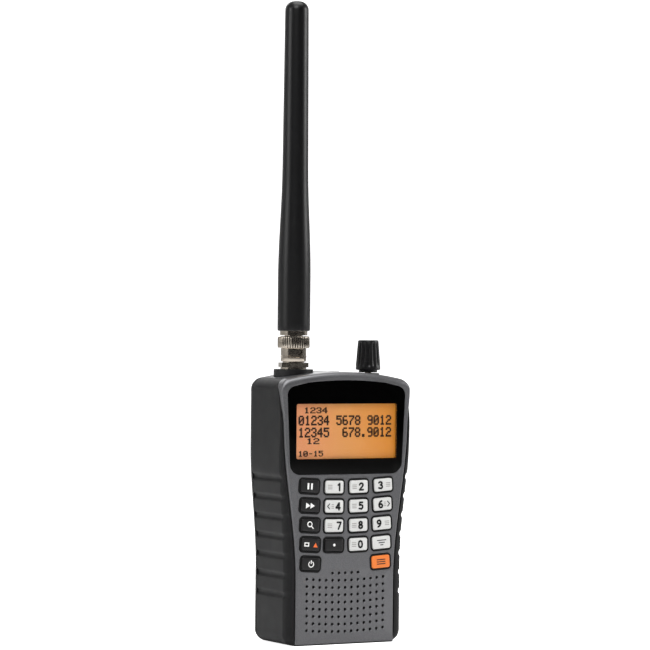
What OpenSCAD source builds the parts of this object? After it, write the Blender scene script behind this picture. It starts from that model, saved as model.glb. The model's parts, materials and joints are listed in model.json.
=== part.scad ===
// Hand-held scanning receiver with a bayonet antenna. All sizes are in millimetres.
// Origin: centre of the base. X to the right seen from the front, front face at -Y, Z up.

/* [Case] */
// Width across the rubber grips at the display
body_w = 66.4; // [64:0.2:72]
// Width across the grips at the foot
foot_w = 60.2; // [58:0.2:62]
// Depth from front face to back face, without the belt clip
body_d = 33.4; // [33:0.2:36]
// Height of the case at the middle of its arched top
body_h = 122.4; // [122:0.2:124]
// Radius of the arch across the top
top_arch_r = 140; // [120:5:220]
// Width of the hard front panel at the display
panel_w = 64; // [60:0.2:64]
// Width of the hard front panel at the foot
panel_foot_w = 50.6; // [46:0.2:54]
// Thickness of the rubber on the sides
grip_t = 1.6; // [1.4:0.1:1.8]
// Wall of the front and back faces
face_wall = 1.8; // [1.6:0.1:2]

/* [Display] */
// Half width of the gloss lens at its top corners
lens_half = 30.3; // [29:0.1:30.5]
// Height of the lens bottom edge
lens_z0 = 76.5; // [76:0.1:77.5]
// Height of the lens top edge at the middle
lens_z1 = 118.6; // [117:0.1:119]
// Width of the lit window
window_w = 51.7; // [48:0.1:52]
// Bottom of the lit window
window_z0 = 83.4; // [83:0.1:86]
// Top of the lit window
window_z1 = 108.1; // [105:0.1:108.5]

/* [Keypad] */
// Width of a key cap
key_w = 9.7; // [9:0.1:10]
// Height of a key cap
key_h = 6.1; // [5.6:0.1:6.2]
// Distance of the inner key columns from the middle
key_inner_x = 6.3; // [6.2:0.05:6.6]
// Distance of the outer key columns from the middle at the top row
key_outer_x = 19; // [18.8:0.05:19.4]
// Height of the middle of the top key row
key_z = 70.7; // [70.4:0.1:71]
// Distance between key rows
key_pitch = 8.67; // [8.5:0.01:8.8]
// How far a key goes in
key_travel = 0.6; // [0.4:0.1:0.7]

/* [Speaker] */
// Distance between sound holes
hole_pitch = 3.28; // [3.1:0.01:3.4]
// Diameter of a sound hole
hole_d = 1.4; // [1.2:0.05:1.6]
// Diameter of the loudspeaker
speaker_d = 27; // [24:0.5:28]

/* [Top controls] */
// Distance of the antenna axis left of the middle
antenna_x = -17.8; // [-18.5:0.1:-17]
// Distance of the knob axis right of the middle
knob_x = 21.2; // [20:0.1:22]
// Height of the knob's top
knob_top = 136.7; // [134:0.1:138]
// Height of the antenna's tip
antenna_top = 289.6; // [250:0.5:300]
// Position of the earphone jack along the top
phone_x = 3; // [1:0.1:5]

/* [Batteries and clip] */
// Diameter of a cell
cell_d = 14.2; // [14:0.1:14.5]
// Length of a cell
cell_l = 50; // [49.5:0.1:50.5]
// Width of the belt clip
clip_w = 20; // [16:0.5:22]
// Gap behind the belt clip
clip_gap = 4.8; // [4.6:0.1:6]

/* [Hidden] */
$fn = 48;
EPS = 0.01;
split_y = 0.6;                       // parting plane of the two shells
mid_y = 1.5;                         // depth of the antenna and knob axes
front_y = -body_d / 2;
back_y = body_d / 2;
grip_back_y = 11.8;                  // rear edge of the rubber
side_wall = 1.6;                     // hard wall under the rubber
cap_wall = 2;                        // top and bottom walls
shoulder_r = 5.4;                    // rounding of the top corners
foot_r = 4.6;                        // rounding of the bottom corners
rear_r = 4.8;                        // rounding of the rear upright edges
edge_r = 1.6;                        // rounding of the front upright edges
rear_foot_r = 5;                     // rounding of the rear bottom edge
groove_z = 74.8;                     // height of the top finger groove
groove_pitch = 8.65;
groove_n = 7;
lens_y = front_y - 0.1;              // outer face of the lens
lens_t = 1;
glass_y = front_y + face_wall;       // front of the display glass and back of the front wall
board_y = -11;                       // front of the main board
board_t = 1.4;
board_z0 = 32.6;
rf_y = 2;                            // front of the radio board
key_arc = 0.00174;                   // rise of a key row per square millimetre from the middle
key_foot_x = key_outer_x - 0.9;      // outer column at the lowest row
mask_t = 0.8;
rim = 0.55;                          // black rim around a key
rim_gap = 0.15;                      // clearance between a key and its rim
flange_t = 0.6;
hole_z = 28.75;                      // top full row of sound holes
hole_arc = 0.00264;
speaker_z = 18.4;
cell_x = cell_d / 2 + 0.4;
cell_y = 7.4;
cell_z = 7.4;
tray_half = 15.6;
tray_z0 = 4.4;
tray_z1 = 64;
door_half = 15;
door_z1 = 62.5;
door_t = 1.7;
jack_z = 123.3;                      // top of the washer under the antenna socket
lug_z = 131.2;                       // height of the two bayonet lugs
lug_r = 5.35;                        // reach of a lug from the axis
lug_d = 1.9;
lug_play = 1.2;                      // half width of the channel a lug runs in
sleeve_z0 = 140.5;                   // lower end of the rubber sleeve
knob_seat = 121.6;                   // flat boss under the knob
clip_z = 108;                        // height of the belt clip's pin
clip_y = back_y + 2.9;
CLIP_SCREWS = [101.5, 114];
usb_z = 92;                          // height of the side socket
usb_pin_y = -3.6;                    // hinge axis of the socket cover
usb_pin_x = 32.5;
BOSSES = [[-27.6, 112.6], [27.6, 112.6], [-23.4, 7.5], [23.4, 7.5]];
screw_d = 2;
KEY_LIGHT = [0.82, 0.82, 0.81];
KEY_DARK = [0.1, 0.1, 0.11];
KEY_ORANGE = [0.91, 0.42, 0.13];

// Smooth step from 0 to 1 between heights a and b
function smooth(a, b, z) = let (t = max(0, min(1, (z - a) / (b - a)))) t * t * (3 - 2 * t);
function body_half(z) = foot_w / 2 + (body_w - foot_w) / 2 * smooth(35, 88, z);
function panel_half(z) = panel_foot_w / 2 + (panel_w - panel_foot_w) / 2 * smooth(30, 100, z);
function top_z(x) = body_h - x * x / (2 * top_arch_r);
function arc(c, r, a0, a1, n) = [for (i = [0:n]) let (a = a0 + (a1 - a0) * i / n) c + r * [cos(a), sin(a)]];
function flip(p) = [for (i = [len(p) - 1:-1:0]) [-p[i][0], p[i][1]]];

// Right half of the front outline, foot to top, drawn in by side and cap
function right_edge(side, cap) = let (
    shoulder_x = body_w / 2 - side - shoulder_r,
    shoulder_z = top_z(shoulder_x) - cap - shoulder_r,
    foot_x = foot_w / 2 - side - foot_r)
    concat(
        arc([foot_x, cap + foot_r], foot_r, -90, 0, 4),
        [for (z = [16:8:104]) [body_half(z) - side, z]],
        arc([shoulder_x, shoulder_z], shoulder_r, 0, 80, 5),
        [for (x = [24:-4:4]) [x, top_z(x) - cap]]);
function front_outline(side, cap) = concat(right_edge(side, cap), flip(right_edge(side, cap)));
function plan_right(side, face) = concat(
    arc([body_w / 2 - side - edge_r, front_y + face + edge_r], edge_r, -90, 0, 4),
    arc([body_w / 2 - side - rear_r, back_y - face - rear_r], rear_r, 0, 90, 6));
function plan_outline(side, face) = concat(plan_right(side, face), flip(plan_right(side, face)));
function panel_right() = [for (z = [0:6:126]) [panel_half(z), z - 1]];

// Key centres: column 0 to 3, row 0 to 4 from the top
function key_x(c, r) = let (outer = key_outer_x + (key_foot_x - key_outer_x) * r / 4)
    [-outer, -key_inner_x, key_inner_x, outer][c];
function key_row_z(c, r) = key_z - r * key_pitch + key_arc * pow(key_x(c, r), 2);
KEYS = concat([for (r = [0:3]) for (c = [0:3]) [c, r]], [[0, 4], [3, 4]]);

// Outline in the XZ plane made into a slab from y0 to y1
module slab(y0, y1) translate([0, y1, 0]) rotate([90, 0, 0]) linear_extrude(y1 - y0) children();
module rod_y(x, z, y0, y1, d) translate([x, y0, z]) rotate([-90, 0, 0]) cylinder(h = y1 - y0, d = d);
module rod_x(y, z, x0, x1, d) translate([x0, y, z]) rotate([0, 90, 0]) cylinder(h = x1 - x0, d = d);
module rod_z(x, y, z0, z1, d) translate([x, y, z0]) cylinder(h = z1 - z0, d = d);
module block(x0, x1, y0, y1, z0, z1) translate([x0, y0, z0]) cube([x1 - x0, y1 - y0, z1 - z0]);

module rounded_rect(w, h, r) polygon(concat(
    arc([w / 2 - r, h / 2 - r], r, 0, 90, 4), arc([r - w / 2, h / 2 - r], r, 90, 180, 4),
    arc([r - w / 2, r - h / 2], r, 180, 270, 4), arc([w / 2 - r, r - h / 2], r, 270, 360, 4)));

// The case as a solid block, drawn in by side, face and cap
module case_block(side, face, cap) intersection() {
    slab(front_y + face, back_y - face) polygon(front_outline(side, cap));
    linear_extrude(body_h + 2) polygon(plan_outline(side, face));
    rotate([90, 0, 90]) linear_extrude(body_w + 2, center = true) polygon(concat(
        [[front_y - 1, cap], [back_y - rear_foot_r, cap]],
        arc([back_y - face - rear_foot_r, cap + rear_foot_r], rear_foot_r, -90, 0, 5),
        [[back_y, body_h + 2], [front_y - 1, body_h + 2]]));
}

// Side window that the rubber fills, seen from the side with a rounded upper front corner
module grip_window(sign) rotate([90, 0, 90]) translate([0, 0, sign > 0 ? 0 : -body_w])
    linear_extrude(body_w) polygon(concat([[front_y - 1, -1], [grip_back_y, -1]],
        arc([grip_back_y - 4, 115], 4, 0, 90, 4), arc([front_y + 8.5, 112], 7, 90, 180, 6),
        [[front_y - 1, 100]]));

// Everything of the hard case that the rubber lies on
module grip_bed() {
    case_block(grip_t, 1.7, 0);
    slab(front_y - 1, front_y + 2.2) polygon(concat(panel_right(), flip(panel_right())));
}

module rubber(sign) difference() {
    intersection() {
        case_block(0, 0.5, 0.01);
        grip_window(sign);
    }
    grip_bed();
}

// Finger grooves across a grip
module grooves(sign) for (i = [0:groove_n - 1]) let (z = groove_z - i * groove_pitch)
    rod_y(sign * (body_half(z) + 0.35), z, front_y - 1, grip_back_y + 1, 1.6);

module key_outline(grow) rounded_rect(key_w + 2 * grow, key_h + 2 * grow, 1.2 + grow);
module at_key(k) translate([key_x(k[0], k[1]), 0, key_row_z(k[0], k[1])])
    rotate([0, -atan(2 * key_arc * key_x(k[0], k[1])), 0]) children();

module sound_holes() {
    for (r = [0:7]) for (c = [-6:6]) let (x = c * hole_pitch)
        rod_y(x, hole_z - r * hole_pitch + hole_arc * x * x, front_y - 1, glass_y + 0.5, hole_d);
    for (c = [-2:2]) let (x = c * hole_pitch)
        rod_y(x, hole_z + hole_pitch + hole_arc * x * x, front_y - 1, glass_y + 0.5, hole_d);
}

function lens_right(g) = concat(
    arc([lens_half - 6.5 + g, lens_z0 + 5 - g], 5, -90, -4, 4),
    arc([lens_half - 4 + g, lens_z1 - 6.6 + g], 4, 0, 78, 4),
    [for (x = [20:-5:5]) [x, lens_z1 + g - x * x / 366]]);
module lens_shape(g) polygon(concat(lens_right(g), flip(lens_right(g))));
module window_shape(g) translate([0, (window_z0 + window_z1) / 2]) rounded_rect(window_w + 2 * g,
    window_z1 - window_z0 + 2 * g, 0.8);

module half_space(sign) translate([-body_w, sign > 0 ? split_y : split_y - body_d, -5])
    cube([2 * body_w, body_d, body_h + 10]);

// Both shells before they are parted
module shell_skin() difference() {
    union() {
        difference() {
            case_block(0, 0, 0);
            case_block(grip_t + side_wall, face_wall, cap_wall);
        }
        rod_z(knob_x, mid_y, 118.5, knob_seat, 10.4);
    }
    for (sign = [-1, 1]) difference() {
        grip_window(sign);
        grip_bed();
    }
    rod_z(antenna_x, mid_y, 110, 130, 9.2);
    rod_z(knob_x, mid_y, 110, 130, 6.2);
    rod_z(phone_x, mid_y, 110, 130, 5.4);
    block(29, 32, -9.9, -6.1, usb_z - 4.4, usb_z + 4.4);
}

module front_shell() color("dimgray") difference() {
    union() {
        intersection() {
            shell_skin();
            half_space(-1);
        }
        for (b = BOSSES) rod_y(b[0], b[1], glass_y, split_y, 4.4);
    }
    slab(lens_y - 1, front_y + lens_t) lens_shape(0.12);
    slab(front_y, glass_y + 1) window_shape(0.8);
    for (k = KEYS) at_key(k) slab(front_y - 1, glass_y + 0.5) key_outline(rim_gap + rim);
    sound_holes();
    for (b = BOSSES) rod_y(b[0], b[1], -6, split_y + 1, screw_d);
}

module rear_shell() color([0.09, 0.09, 0.1]) difference() {
    union() {
        intersection() {
            shell_skin();
            half_space(1);
        }
        for (b = BOSSES) rod_y(b[0], b[1], split_y, back_y - 1, 5);
        for (z = CLIP_SCREWS) rod_y(0, z, back_y - 6, back_y - 1, 5);
        block(-tray_half - 1.2, tray_half + 1.2, -1.2, back_y - 1, cap_wall, tray_z1 + 1.2);
    }
    difference() {
        block(-tray_half, tray_half, 0, back_y - face_wall + EPS, tray_z0, tray_z1);
        block(-tray_half, tray_half, 0, 12, cell_z + cell_l + 0.8, cell_z + cell_l + 2);
    }
    block(-door_half - 0.15, door_half + 0.15, back_y - face_wall, back_y + 1, -1, door_z1 + 0.15);
    block(-door_half - 1.15, door_half + 1.15, back_y - face_wall, back_y - 0.8, -1, door_z1 + 0.15);
    block(-4.2, 4.2, 9.8, 12.2, tray_z1 - 1, tray_z1 + 2);
    for (b = BOSSES) {
        rod_y(b[0], b[1], split_y - 1, back_y, screw_d + 0.4);
        rod_y(b[0], b[1], back_y - 2.3, back_y + 1, 4.2);
    }
    for (z = CLIP_SCREWS) rod_y(0, z, back_y - 5.4, back_y + 1, screw_d);
}

module grip_left() color([0.13, 0.13, 0.14]) difference() {
    rubber(-1);
    grooves(-1);
}
module grip_right() color([0.13, 0.13, 0.14]) difference() {
    rubber(1);
    grooves(1);
    block(31, 35, -12, -2.5, usb_z - 6, usb_z + 6);
}

module display_lens() color([0.03, 0.03, 0.04]) slab(lens_y, front_y + lens_t) lens_shape(0);
module lcd_panel() color("darkorange") block(-28, 28, glass_y, glass_y + 2, window_z0 - 1.6, window_z1 + 1.3);
module light_guide() color("ivory") block(-27, 27, glass_y + 2, glass_y + 3.3, window_z0 - 1.2, window_z1 + 1);
module lcd_frame() color("white") difference() {
    block(-28.6, 28.6, glass_y + 0.2, board_y, window_z0 - 2.7, window_z1 + 2.1);
    block(-28.1, 28.1, glass_y - 1, board_y - 0.6, window_z0 - 1.7, window_z1 + 1.4);
}

// Area behind the keys, with the speaker's bay left free in the middle of its lower edge
module pad_area() {
    translate([-25.9, 40]) square([51.8, 36]);
    for (x = [-25.9, 12.1]) translate([x, 32.7]) square([13.8, 8]);
}
module keypad_rims() color([0.05, 0.05, 0.05]) difference() {
    union() {
        slab(glass_y, glass_y + mask_t) pad_area();
        for (k = KEYS) at_key(k) slab(front_y + 0.1, glass_y + EPS) key_outline(rim_gap + rim - 0.05);
    }
    for (k = KEYS) at_key(k) slab(front_y - 1, glass_y + 2) key_outline(rim_gap);
}
module keypad_mat() color("gainsboro") {
    slab(board_y - 1.2, board_y) pad_area();
    for (k = KEYS) at_key(k) rod_y(0, 0, board_y - 1.75, board_y - 1, 4.6);
}
module key(k, shade) color(shade) at_key(k) {
    slab(front_y - 0.7, glass_y + mask_t + 0.3) key_outline(0);
    slab(glass_y + mask_t + 0.05, glass_y + mask_t + 0.05 + flange_t) key_outline(0.6);
}

module main_board() color("darkgreen") difference() {
    union() {
        block(-26, 26, board_y, board_y + board_t, board_z0, 110);
        block(-28.6, 28.6, board_y, board_y + board_t, 80, 110);
    }
    for (x = [-24, 24]) rod_y(x, 78, board_y - 1, board_y + 2, 2.2);
}
module board_chips() color([0.1, 0.1, 0.1]) {
    block(-9, 5, board_y + board_t, board_y + board_t + 1.4, 44, 58);
    block(10, 18, board_y + board_t, board_y + board_t + 1.2, 46, 54);
    block(-22, -14, board_y + board_t, board_y + board_t + 1.6, 84, 96);
    block(-6, 6, board_y + board_t, board_y + board_t + 1.2, 98, 104);
    for (x = [-20, -16, 20]) rod_y(x, 70, board_y + board_t, board_y + board_t + 4, 4);
    block(-8, 8, board_y + board_t, rf_y, 68.5, 72);
}
module radio_board() color("darkgreen") block(-24, 24, rf_y, rf_y + 1.2, 68, 108.4);
module shield_can() color("silver") difference() {
    block(-14, 14, rf_y + 1.2, rf_y + 5.2, 76, 98);
    block(-13.7, 13.7, rf_y, rf_y + 4.9, 76.3, 97.7);
}

module speaker_basket() color("gray") difference() {
    rod_y(0, speaker_z, glass_y + 0.4, glass_y + 5, speaker_d);
    rod_y(0, speaker_z, glass_y, glass_y + 4, speaker_d - 2);
}
module speaker_cone() color([0.15, 0.14, 0.12]) translate([0, glass_y + 0.7, speaker_z]) rotate([-90, 0, 0])
    difference() {
        cylinder(h = 3.3, d1 = speaker_d - 2.2, d2 = 6);
        translate([0, 0, -0.4]) cylinder(h = 3.3, d1 = speaker_d - 2.2, d2 = 6);
    }
module speaker_magnet() color("darkgray") rod_y(0, speaker_z, glass_y + 5, glass_y + 8.4, 14);
module speaker_felt() color([0.08, 0.08, 0.08]) rod_y(0, speaker_z, glass_y, glass_y + 0.4, speaker_d);

module bnc_jack() color("silver") difference() {
    union() {
        rod_z(antenna_x, mid_y, 111, jack_z + 1, 9);
        rod_z(antenna_x, mid_y, jack_z, 135.5, 9.7);
        rod_y(antenna_x, lug_z, mid_y - lug_r, mid_y + lug_r, lug_d);
    }
    rod_z(antenna_x, mid_y, 126.4, 137, 8.2);
    rod_z(antenna_x, mid_y, 110, 127, 1.5);
}
module bnc_insulator() color("white") difference() {
    union() {
        rod_z(antenna_x, mid_y, 126.4, 128, 8.2);
        rod_z(antenna_x, mid_y, 127, 134.6, 4.6);
    }
    rod_z(antenna_x, mid_y, 126, 135, 1.5);
}
module bnc_washer() color([0.06, 0.06, 0.06]) difference() {
    rod_z(antenna_x, mid_y, 118, jack_z, 17.9);
    case_block(0, 0, 0);
    rod_z(antenna_x, mid_y, 117, 125, 9.2);
}
module bnc_ring_nut() color("silver") difference() {
    union() {
        rod_z(antenna_x, mid_y, jack_z, 124.2, 11.8);
        translate([antenna_x, mid_y, 124.2]) rotate([0, 0, 15]) cylinder(h = 2.1, r = 7.15, $fn = 6);
    }
    rod_z(antenna_x, mid_y, 120, 128, 9.74);
}

// Nut with an inner bore, two quarter-turn channels for the lugs and a detent hole at the end of each.
// It turns counter-clockwise from above to let go, so each lug runs clockwise along its channel.
module coupling_nut() color("silver") difference() {
    union() {
        rod_z(antenna_x, mid_y, 126.7, 133, 11.6);
        rod_z(antenna_x, mid_y, 132.8, 138.3, 14.6);
    }
    rod_z(antenna_x, mid_y, 126, 136.6, 9.9);
    rod_z(antenna_x, mid_y, 136, 139, 8.6);
    rod_y(antenna_x, lug_z, mid_y - 7, mid_y + 7, 2.5);
    for (turn = [0, 180]) translate([antenna_x, mid_y, 0]) rotate(turn) intersection() {
        translate([0, 0, lug_z - lug_play]) cylinder(h = 2 * lug_play, r = lug_r + 0.15);
        translate([0, 0, 125]) linear_extrude(10)
            polygon([[lug_play, lug_play], [lug_play, -9], [-9, -9], [-9, lug_play]]);
    }
    intersection() {
        rod_z(antenna_x, mid_y, 126, lug_z, 2 * lug_r + 0.3);
        block(antenna_x - 7, antenna_x + 7, mid_y - lug_play, mid_y + lug_play, 126, lug_z);
    }
}
module antenna_plug() color("silver") difference() {
    union() {
        rod_z(antenna_x, mid_y, 128.9, 136, 7.9);
        rod_z(antenna_x, mid_y, 135.8, 136.4, 9.5);
        rod_z(antenna_x, mid_y, 136.2, 139, 8.3);
        rod_z(antenna_x, mid_y, 138.6, sleeve_z0, 12.5);
    }
    difference() {
        rod_z(antenna_x, mid_y, 128, 135.8, 5.2);
        rod_z(antenna_x, mid_y, 128, 136, 1.2);
    }
}
function sleeve_r(z) = 5.36 + 0.55 * min(1, (289 - z) / 77) + 1.5 * (1 - smooth(165, 215, z));
module antenna_sleeve() color([0.07, 0.07, 0.07]) translate([antenna_x, mid_y, 0])
    rotate_extrude() polygon(concat([[0, sleeve_z0], [sleeve_r(sleeve_z0) - 0.5, sleeve_z0]],
        [for (z = [141:6:213]) [sleeve_r(z), z]],
        [[sleeve_r(antenna_top - 4), antenna_top - 4]],
        [for (a = [15:15:75]) [1.36 + 4 * cos(a), antenna_top - 4 + 4 * sin(a)]],
        [[1.36, antenna_top], [0, antenna_top]]));

module volume_pot() color("steelblue") difference() {
    union() {
        block(knob_x - 3.8, knob_x + 3.8, mid_y - 5, mid_y + 5, 108.4, 117.6);
        rod_z(knob_x, mid_y, 117, 121.5, 6);
    }
    rod_z(knob_x, mid_y, 111, 122, 3.1);
}
module pot_shaft() color("silver") rod_z(knob_x, mid_y, 111.2, 133, 3);
module volume_knob() color([0.08, 0.08, 0.08]) translate([knob_x, mid_y, 0]) rotate_extrude() polygon(
    [[1.5, 121.9], [4.25, 121.9], [4.25, 123], [5.7, 123.2], [5.7, 124.2], [4.75, knob_top - 0.6],
     [4.3, knob_top], [0, knob_top], [0, 133], [1.5, 133]]);

module phone_jack() color([0.12, 0.12, 0.12]) difference() {
    union() {
        block(phone_x - 3.2, phone_x + 3.2, mid_y - 3.4, mid_y + 3.4, 108.4, 119.8);
        rod_z(phone_x, mid_y, 119, body_h, 5.2);
    }
    rod_z(phone_x, mid_y, 110, 123, 3.6);
}
module usb_socket() color("silver") difference() {
    block(24.6, 31.2, -9.6, -6.6, usb_z - 3.9, usb_z + 3.9);
    block(25.5, 32, -9.2, -7, usb_z - 3.5, usb_z + 3.5);
}
module usb_cover() color([0.13, 0.13, 0.14]) {
    block(31.8, 33.1, -11.7, usb_pin_y, usb_z - 5.7, usb_z + 5.7);
    block(30.9, 32, -8.9, -7.3, usb_z - 3.1, usb_z + 3.1);
    rod_z(usb_pin_x, usb_pin_y, usb_z - 5.7, usb_z + 5.7, 1.5);
}

module cells() color("goldenrod") for (sign = [-1, 1]) translate([sign * cell_x, cell_y, cell_z + cell_l / 2])
    rotate([sign > 0 ? 0 : 180, 0, 0]) {
        translate([0, 0, -cell_l / 2]) cylinder(h = cell_l - 1.2, d = cell_d);
        translate([0, 0, cell_l / 2 - 1.3]) cylinder(h = 1.3, d = 5.4);
    }
module cell_contacts() color("silver") for (sign = [-1, 1]) {
    block(sign * cell_x - 4, sign * cell_x + 4, cell_y - 4, cell_y + 4, cell_z + cell_l, cell_z + cell_l + 0.8);
    translate([sign * cell_x, cell_y, tray_z0]) rotate_extrude() translate([2.4, 0]) square([1.2, cell_z - tray_z0]);
}
module battery_door() color([0.09, 0.09, 0.1]) {
    intersection() {
        case_block(0, 0, 0);
        block(-door_half, door_half, back_y - door_t, back_y + 1, -1, door_z1);
    }
    block(-door_half - 1, door_half + 1, back_y - door_t, back_y - 0.95, 6, door_z1 - 1);
}
module battery_switch() color("whitesmoke") {
    block(-3.4, -1, 10.2, 11.8, tray_z1 - 1.4, tray_z1 + 1.4);
    block(-4, -0.4, 9, 13, tray_z1 + 1.35, tray_z1 + 2.2);
}

module case_screws() color("silver") for (b = BOSSES) {
    rod_y(b[0], b[1], -6, back_y - 2, screw_d);
    rod_y(b[0], b[1], back_y - 2.3, back_y - 1, 3.6);
}
module clip_base() color([0.09, 0.09, 0.1]) difference() {
    union() {
        block(-9.5, 9.5, back_y, back_y + 1.6, 98.5, 117);
        for (x = [-9.5, 7.7]) intersection() {
            block(x, x + 1.8, back_y, clip_y + 2.2, clip_z - 5, clip_z + 5);
            union() {
                block(x, x + 1.8, back_y, clip_y, clip_z - 5, clip_z + 5);
                rod_x(clip_y, clip_z, x, x + 1.8, 4.4);
            }
        }
    }
    rod_x(clip_y, clip_z, -12, 12, 2);
    rod_x(clip_y, clip_z, -7.7, 7.7, 4.4);
    for (z = CLIP_SCREWS) {
        rod_y(0, z, back_y - 1, back_y + 3, screw_d);
        rod_y(0, z, back_y + 0.6, back_y + 3, 3.6);
    }
}
module clip_screws() color("silver") for (z = CLIP_SCREWS) {
    rod_y(0, z, back_y - 5, back_y + 1, screw_d);
    rod_y(0, z, back_y + 0.6, back_y + 1.5, 3.6);
}
module clip_pin() color("silver") rod_x(clip_y, clip_z, -9.4, 9.4, 2);
module clip_spring() color("silver") for (x = [-7.4, 5.4]) difference() {
    rod_x(clip_y, clip_z, x, x + 2, 3.4);
    rod_x(clip_y, clip_z, x - 1, x + 3, 2.4);
}
module belt_clip() color([0.09, 0.09, 0.1]) difference() {
    union() {
        block(-clip_w / 2, clip_w / 2, back_y + clip_gap, back_y + clip_gap + 1.8, 64, 102);
        block(-7.2, 7.2, back_y + clip_gap, back_y + clip_gap + 1.8, 101, 116.5);
        block(-clip_w / 2 + 3, clip_w / 2 - 3, back_y + 0.5, back_y + clip_gap + 1, 64, 66.2);
        block(-5, 5, clip_y, back_y + clip_gap + 1, clip_z - 1.9, clip_z + 1.9);
        rod_x(clip_y, clip_z, -5, 5, 3.8);
    }
    rod_x(clip_y, clip_z, -8, 8, 2.1);
}

// The eighteen keys, each a part of its own
module key_hold() key([0, 0], KEY_DARK);
module key_1() key([1, 0], KEY_LIGHT);
module key_2() key([2, 0], KEY_LIGHT);
module key_3() key([3, 0], KEY_LIGHT);
module key_scan() key([0, 1], KEY_DARK);
module key_4() key([1, 1], KEY_LIGHT);
module key_5() key([2, 1], KEY_LIGHT);
module key_6() key([3, 1], KEY_LIGHT);
module key_search() key([0, 2], KEY_DARK);
module key_7() key([1, 2], KEY_LIGHT);
module key_8() key([2, 2], KEY_LIGHT);
module key_9() key([3, 2], KEY_LIGHT);
module key_lockout() key([0, 3], KEY_DARK);
module key_point() key([1, 3], KEY_DARK);
module key_0() key([2, 3], KEY_LIGHT);
module key_range() key([3, 3], KEY_LIGHT);
module key_power() key([0, 4], KEY_DARK);
module key_function() key([3, 4], KEY_ORANGE);

front_shell();
rear_shell();
grip_left();
grip_right();
display_lens();
lcd_panel();
light_guide();
lcd_frame();
keypad_rims();
keypad_mat();
main_board();
board_chips();
radio_board();
shield_can();
speaker_basket();
speaker_cone();
speaker_magnet();
speaker_felt();
bnc_jack();
bnc_insulator();
bnc_washer();
bnc_ring_nut();
volume_pot();
phone_jack();
usb_socket();
cells();
cell_contacts();
case_screws();
clip_base();
clip_screws();
clip_pin();
clip_spring();
pot_shaft();
volume_knob();
coupling_nut();
antenna_plug();
antenna_sleeve();
battery_door();
belt_clip();
usb_cover();
battery_switch();
key_hold();
key_1();
key_2();
key_3();
key_scan();
key_4();
key_5();
key_6();
key_search();
key_7();
key_8();
key_9();
key_lockout();
key_point();
key_0();
key_range();
key_power();
key_function();
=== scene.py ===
"""Looks of a pocket scanning receiver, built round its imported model.

Lengths in this file are millimetres.
"""

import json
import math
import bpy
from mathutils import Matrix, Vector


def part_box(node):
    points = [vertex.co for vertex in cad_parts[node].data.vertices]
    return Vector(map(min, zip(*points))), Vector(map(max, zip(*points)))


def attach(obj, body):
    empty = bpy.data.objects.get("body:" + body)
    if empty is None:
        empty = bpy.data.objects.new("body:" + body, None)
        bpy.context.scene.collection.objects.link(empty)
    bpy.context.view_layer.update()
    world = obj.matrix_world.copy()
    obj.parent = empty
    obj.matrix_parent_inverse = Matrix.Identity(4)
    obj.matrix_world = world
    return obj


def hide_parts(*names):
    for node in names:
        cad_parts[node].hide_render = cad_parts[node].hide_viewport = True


bl_info = {
    "name": "Pocket scanner looks",
    "version": (1, 0, 0),
    "blender": (4, 5, 0),
    "location": "3D View > Sidebar > Scanner",
    "description": "Builds the finished surfaces of a pocket scanning receiver round its packed model",
    "category": "Add Mesh",
}

import bmesh
import bpy
from mathutils import Euler, Matrix, Vector, geometry

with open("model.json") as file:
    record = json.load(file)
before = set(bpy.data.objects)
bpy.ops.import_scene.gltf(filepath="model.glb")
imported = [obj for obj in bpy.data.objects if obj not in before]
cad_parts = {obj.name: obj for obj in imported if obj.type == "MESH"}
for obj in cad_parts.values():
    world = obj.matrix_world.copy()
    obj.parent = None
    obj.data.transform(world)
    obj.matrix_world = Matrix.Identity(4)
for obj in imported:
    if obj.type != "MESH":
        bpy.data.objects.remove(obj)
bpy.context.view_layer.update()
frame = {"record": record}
MM = 0.001
WELD = 0.004  # points closer than this are one point


def span(node):
    """Lowest and highest corner of a CAD node, in mm."""
    low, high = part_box(node)
    return Vector(low) / MM, Vector(high) / MM


def middle(node):
    low, high = span(node)
    return (low + high) / 2


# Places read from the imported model
FRONT_Y = span("front_shell")[0].y
BACK_Y = span("clip_base")[0].y
BODY_HALF = span("front_shell")[1].x
BODY_TOP = span("front_shell")[1].z
AXIS_X = middle("antenna_sleeve").x
AXIS_Y = middle("antenna_sleeve").y
KNOB_X = middle("volume_knob").x
KEYS = {
    "key_hold": ("dark", "pause"),
    "key_1": ("light", "1"),
    "key_2": ("light", "2"),
    "key_3": ("light", "3"),
    "key_scan": ("dark", "forward"),
    "key_4": ("light", "4"),
    "key_5": ("light", "5"),
    "key_6": ("light", "6"),
    "key_search": ("dark", "lens"),
    "key_7": ("light", "7"),
    "key_8": ("light", "8"),
    "key_9": ("light", "9"),
    "key_lockout": ("dark", "block"),
    "key_point": ("dark", "point"),
    "key_0": ("light", "0"),
    "key_range": ("light", "bars"),
    "key_power": ("dark", "power"),
    "key_function": ("orange", "menu"),
}


def length(name, description, default, low, high):
    text = description + ", mm"
    return bpy.props.FloatProperty(name=name, description=text, default=default, min=low, max=high)


def colour(name, description, default):
    return bpy.props.StringProperty(name=name, description=description + ", sRGB hex", default=default)


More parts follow.
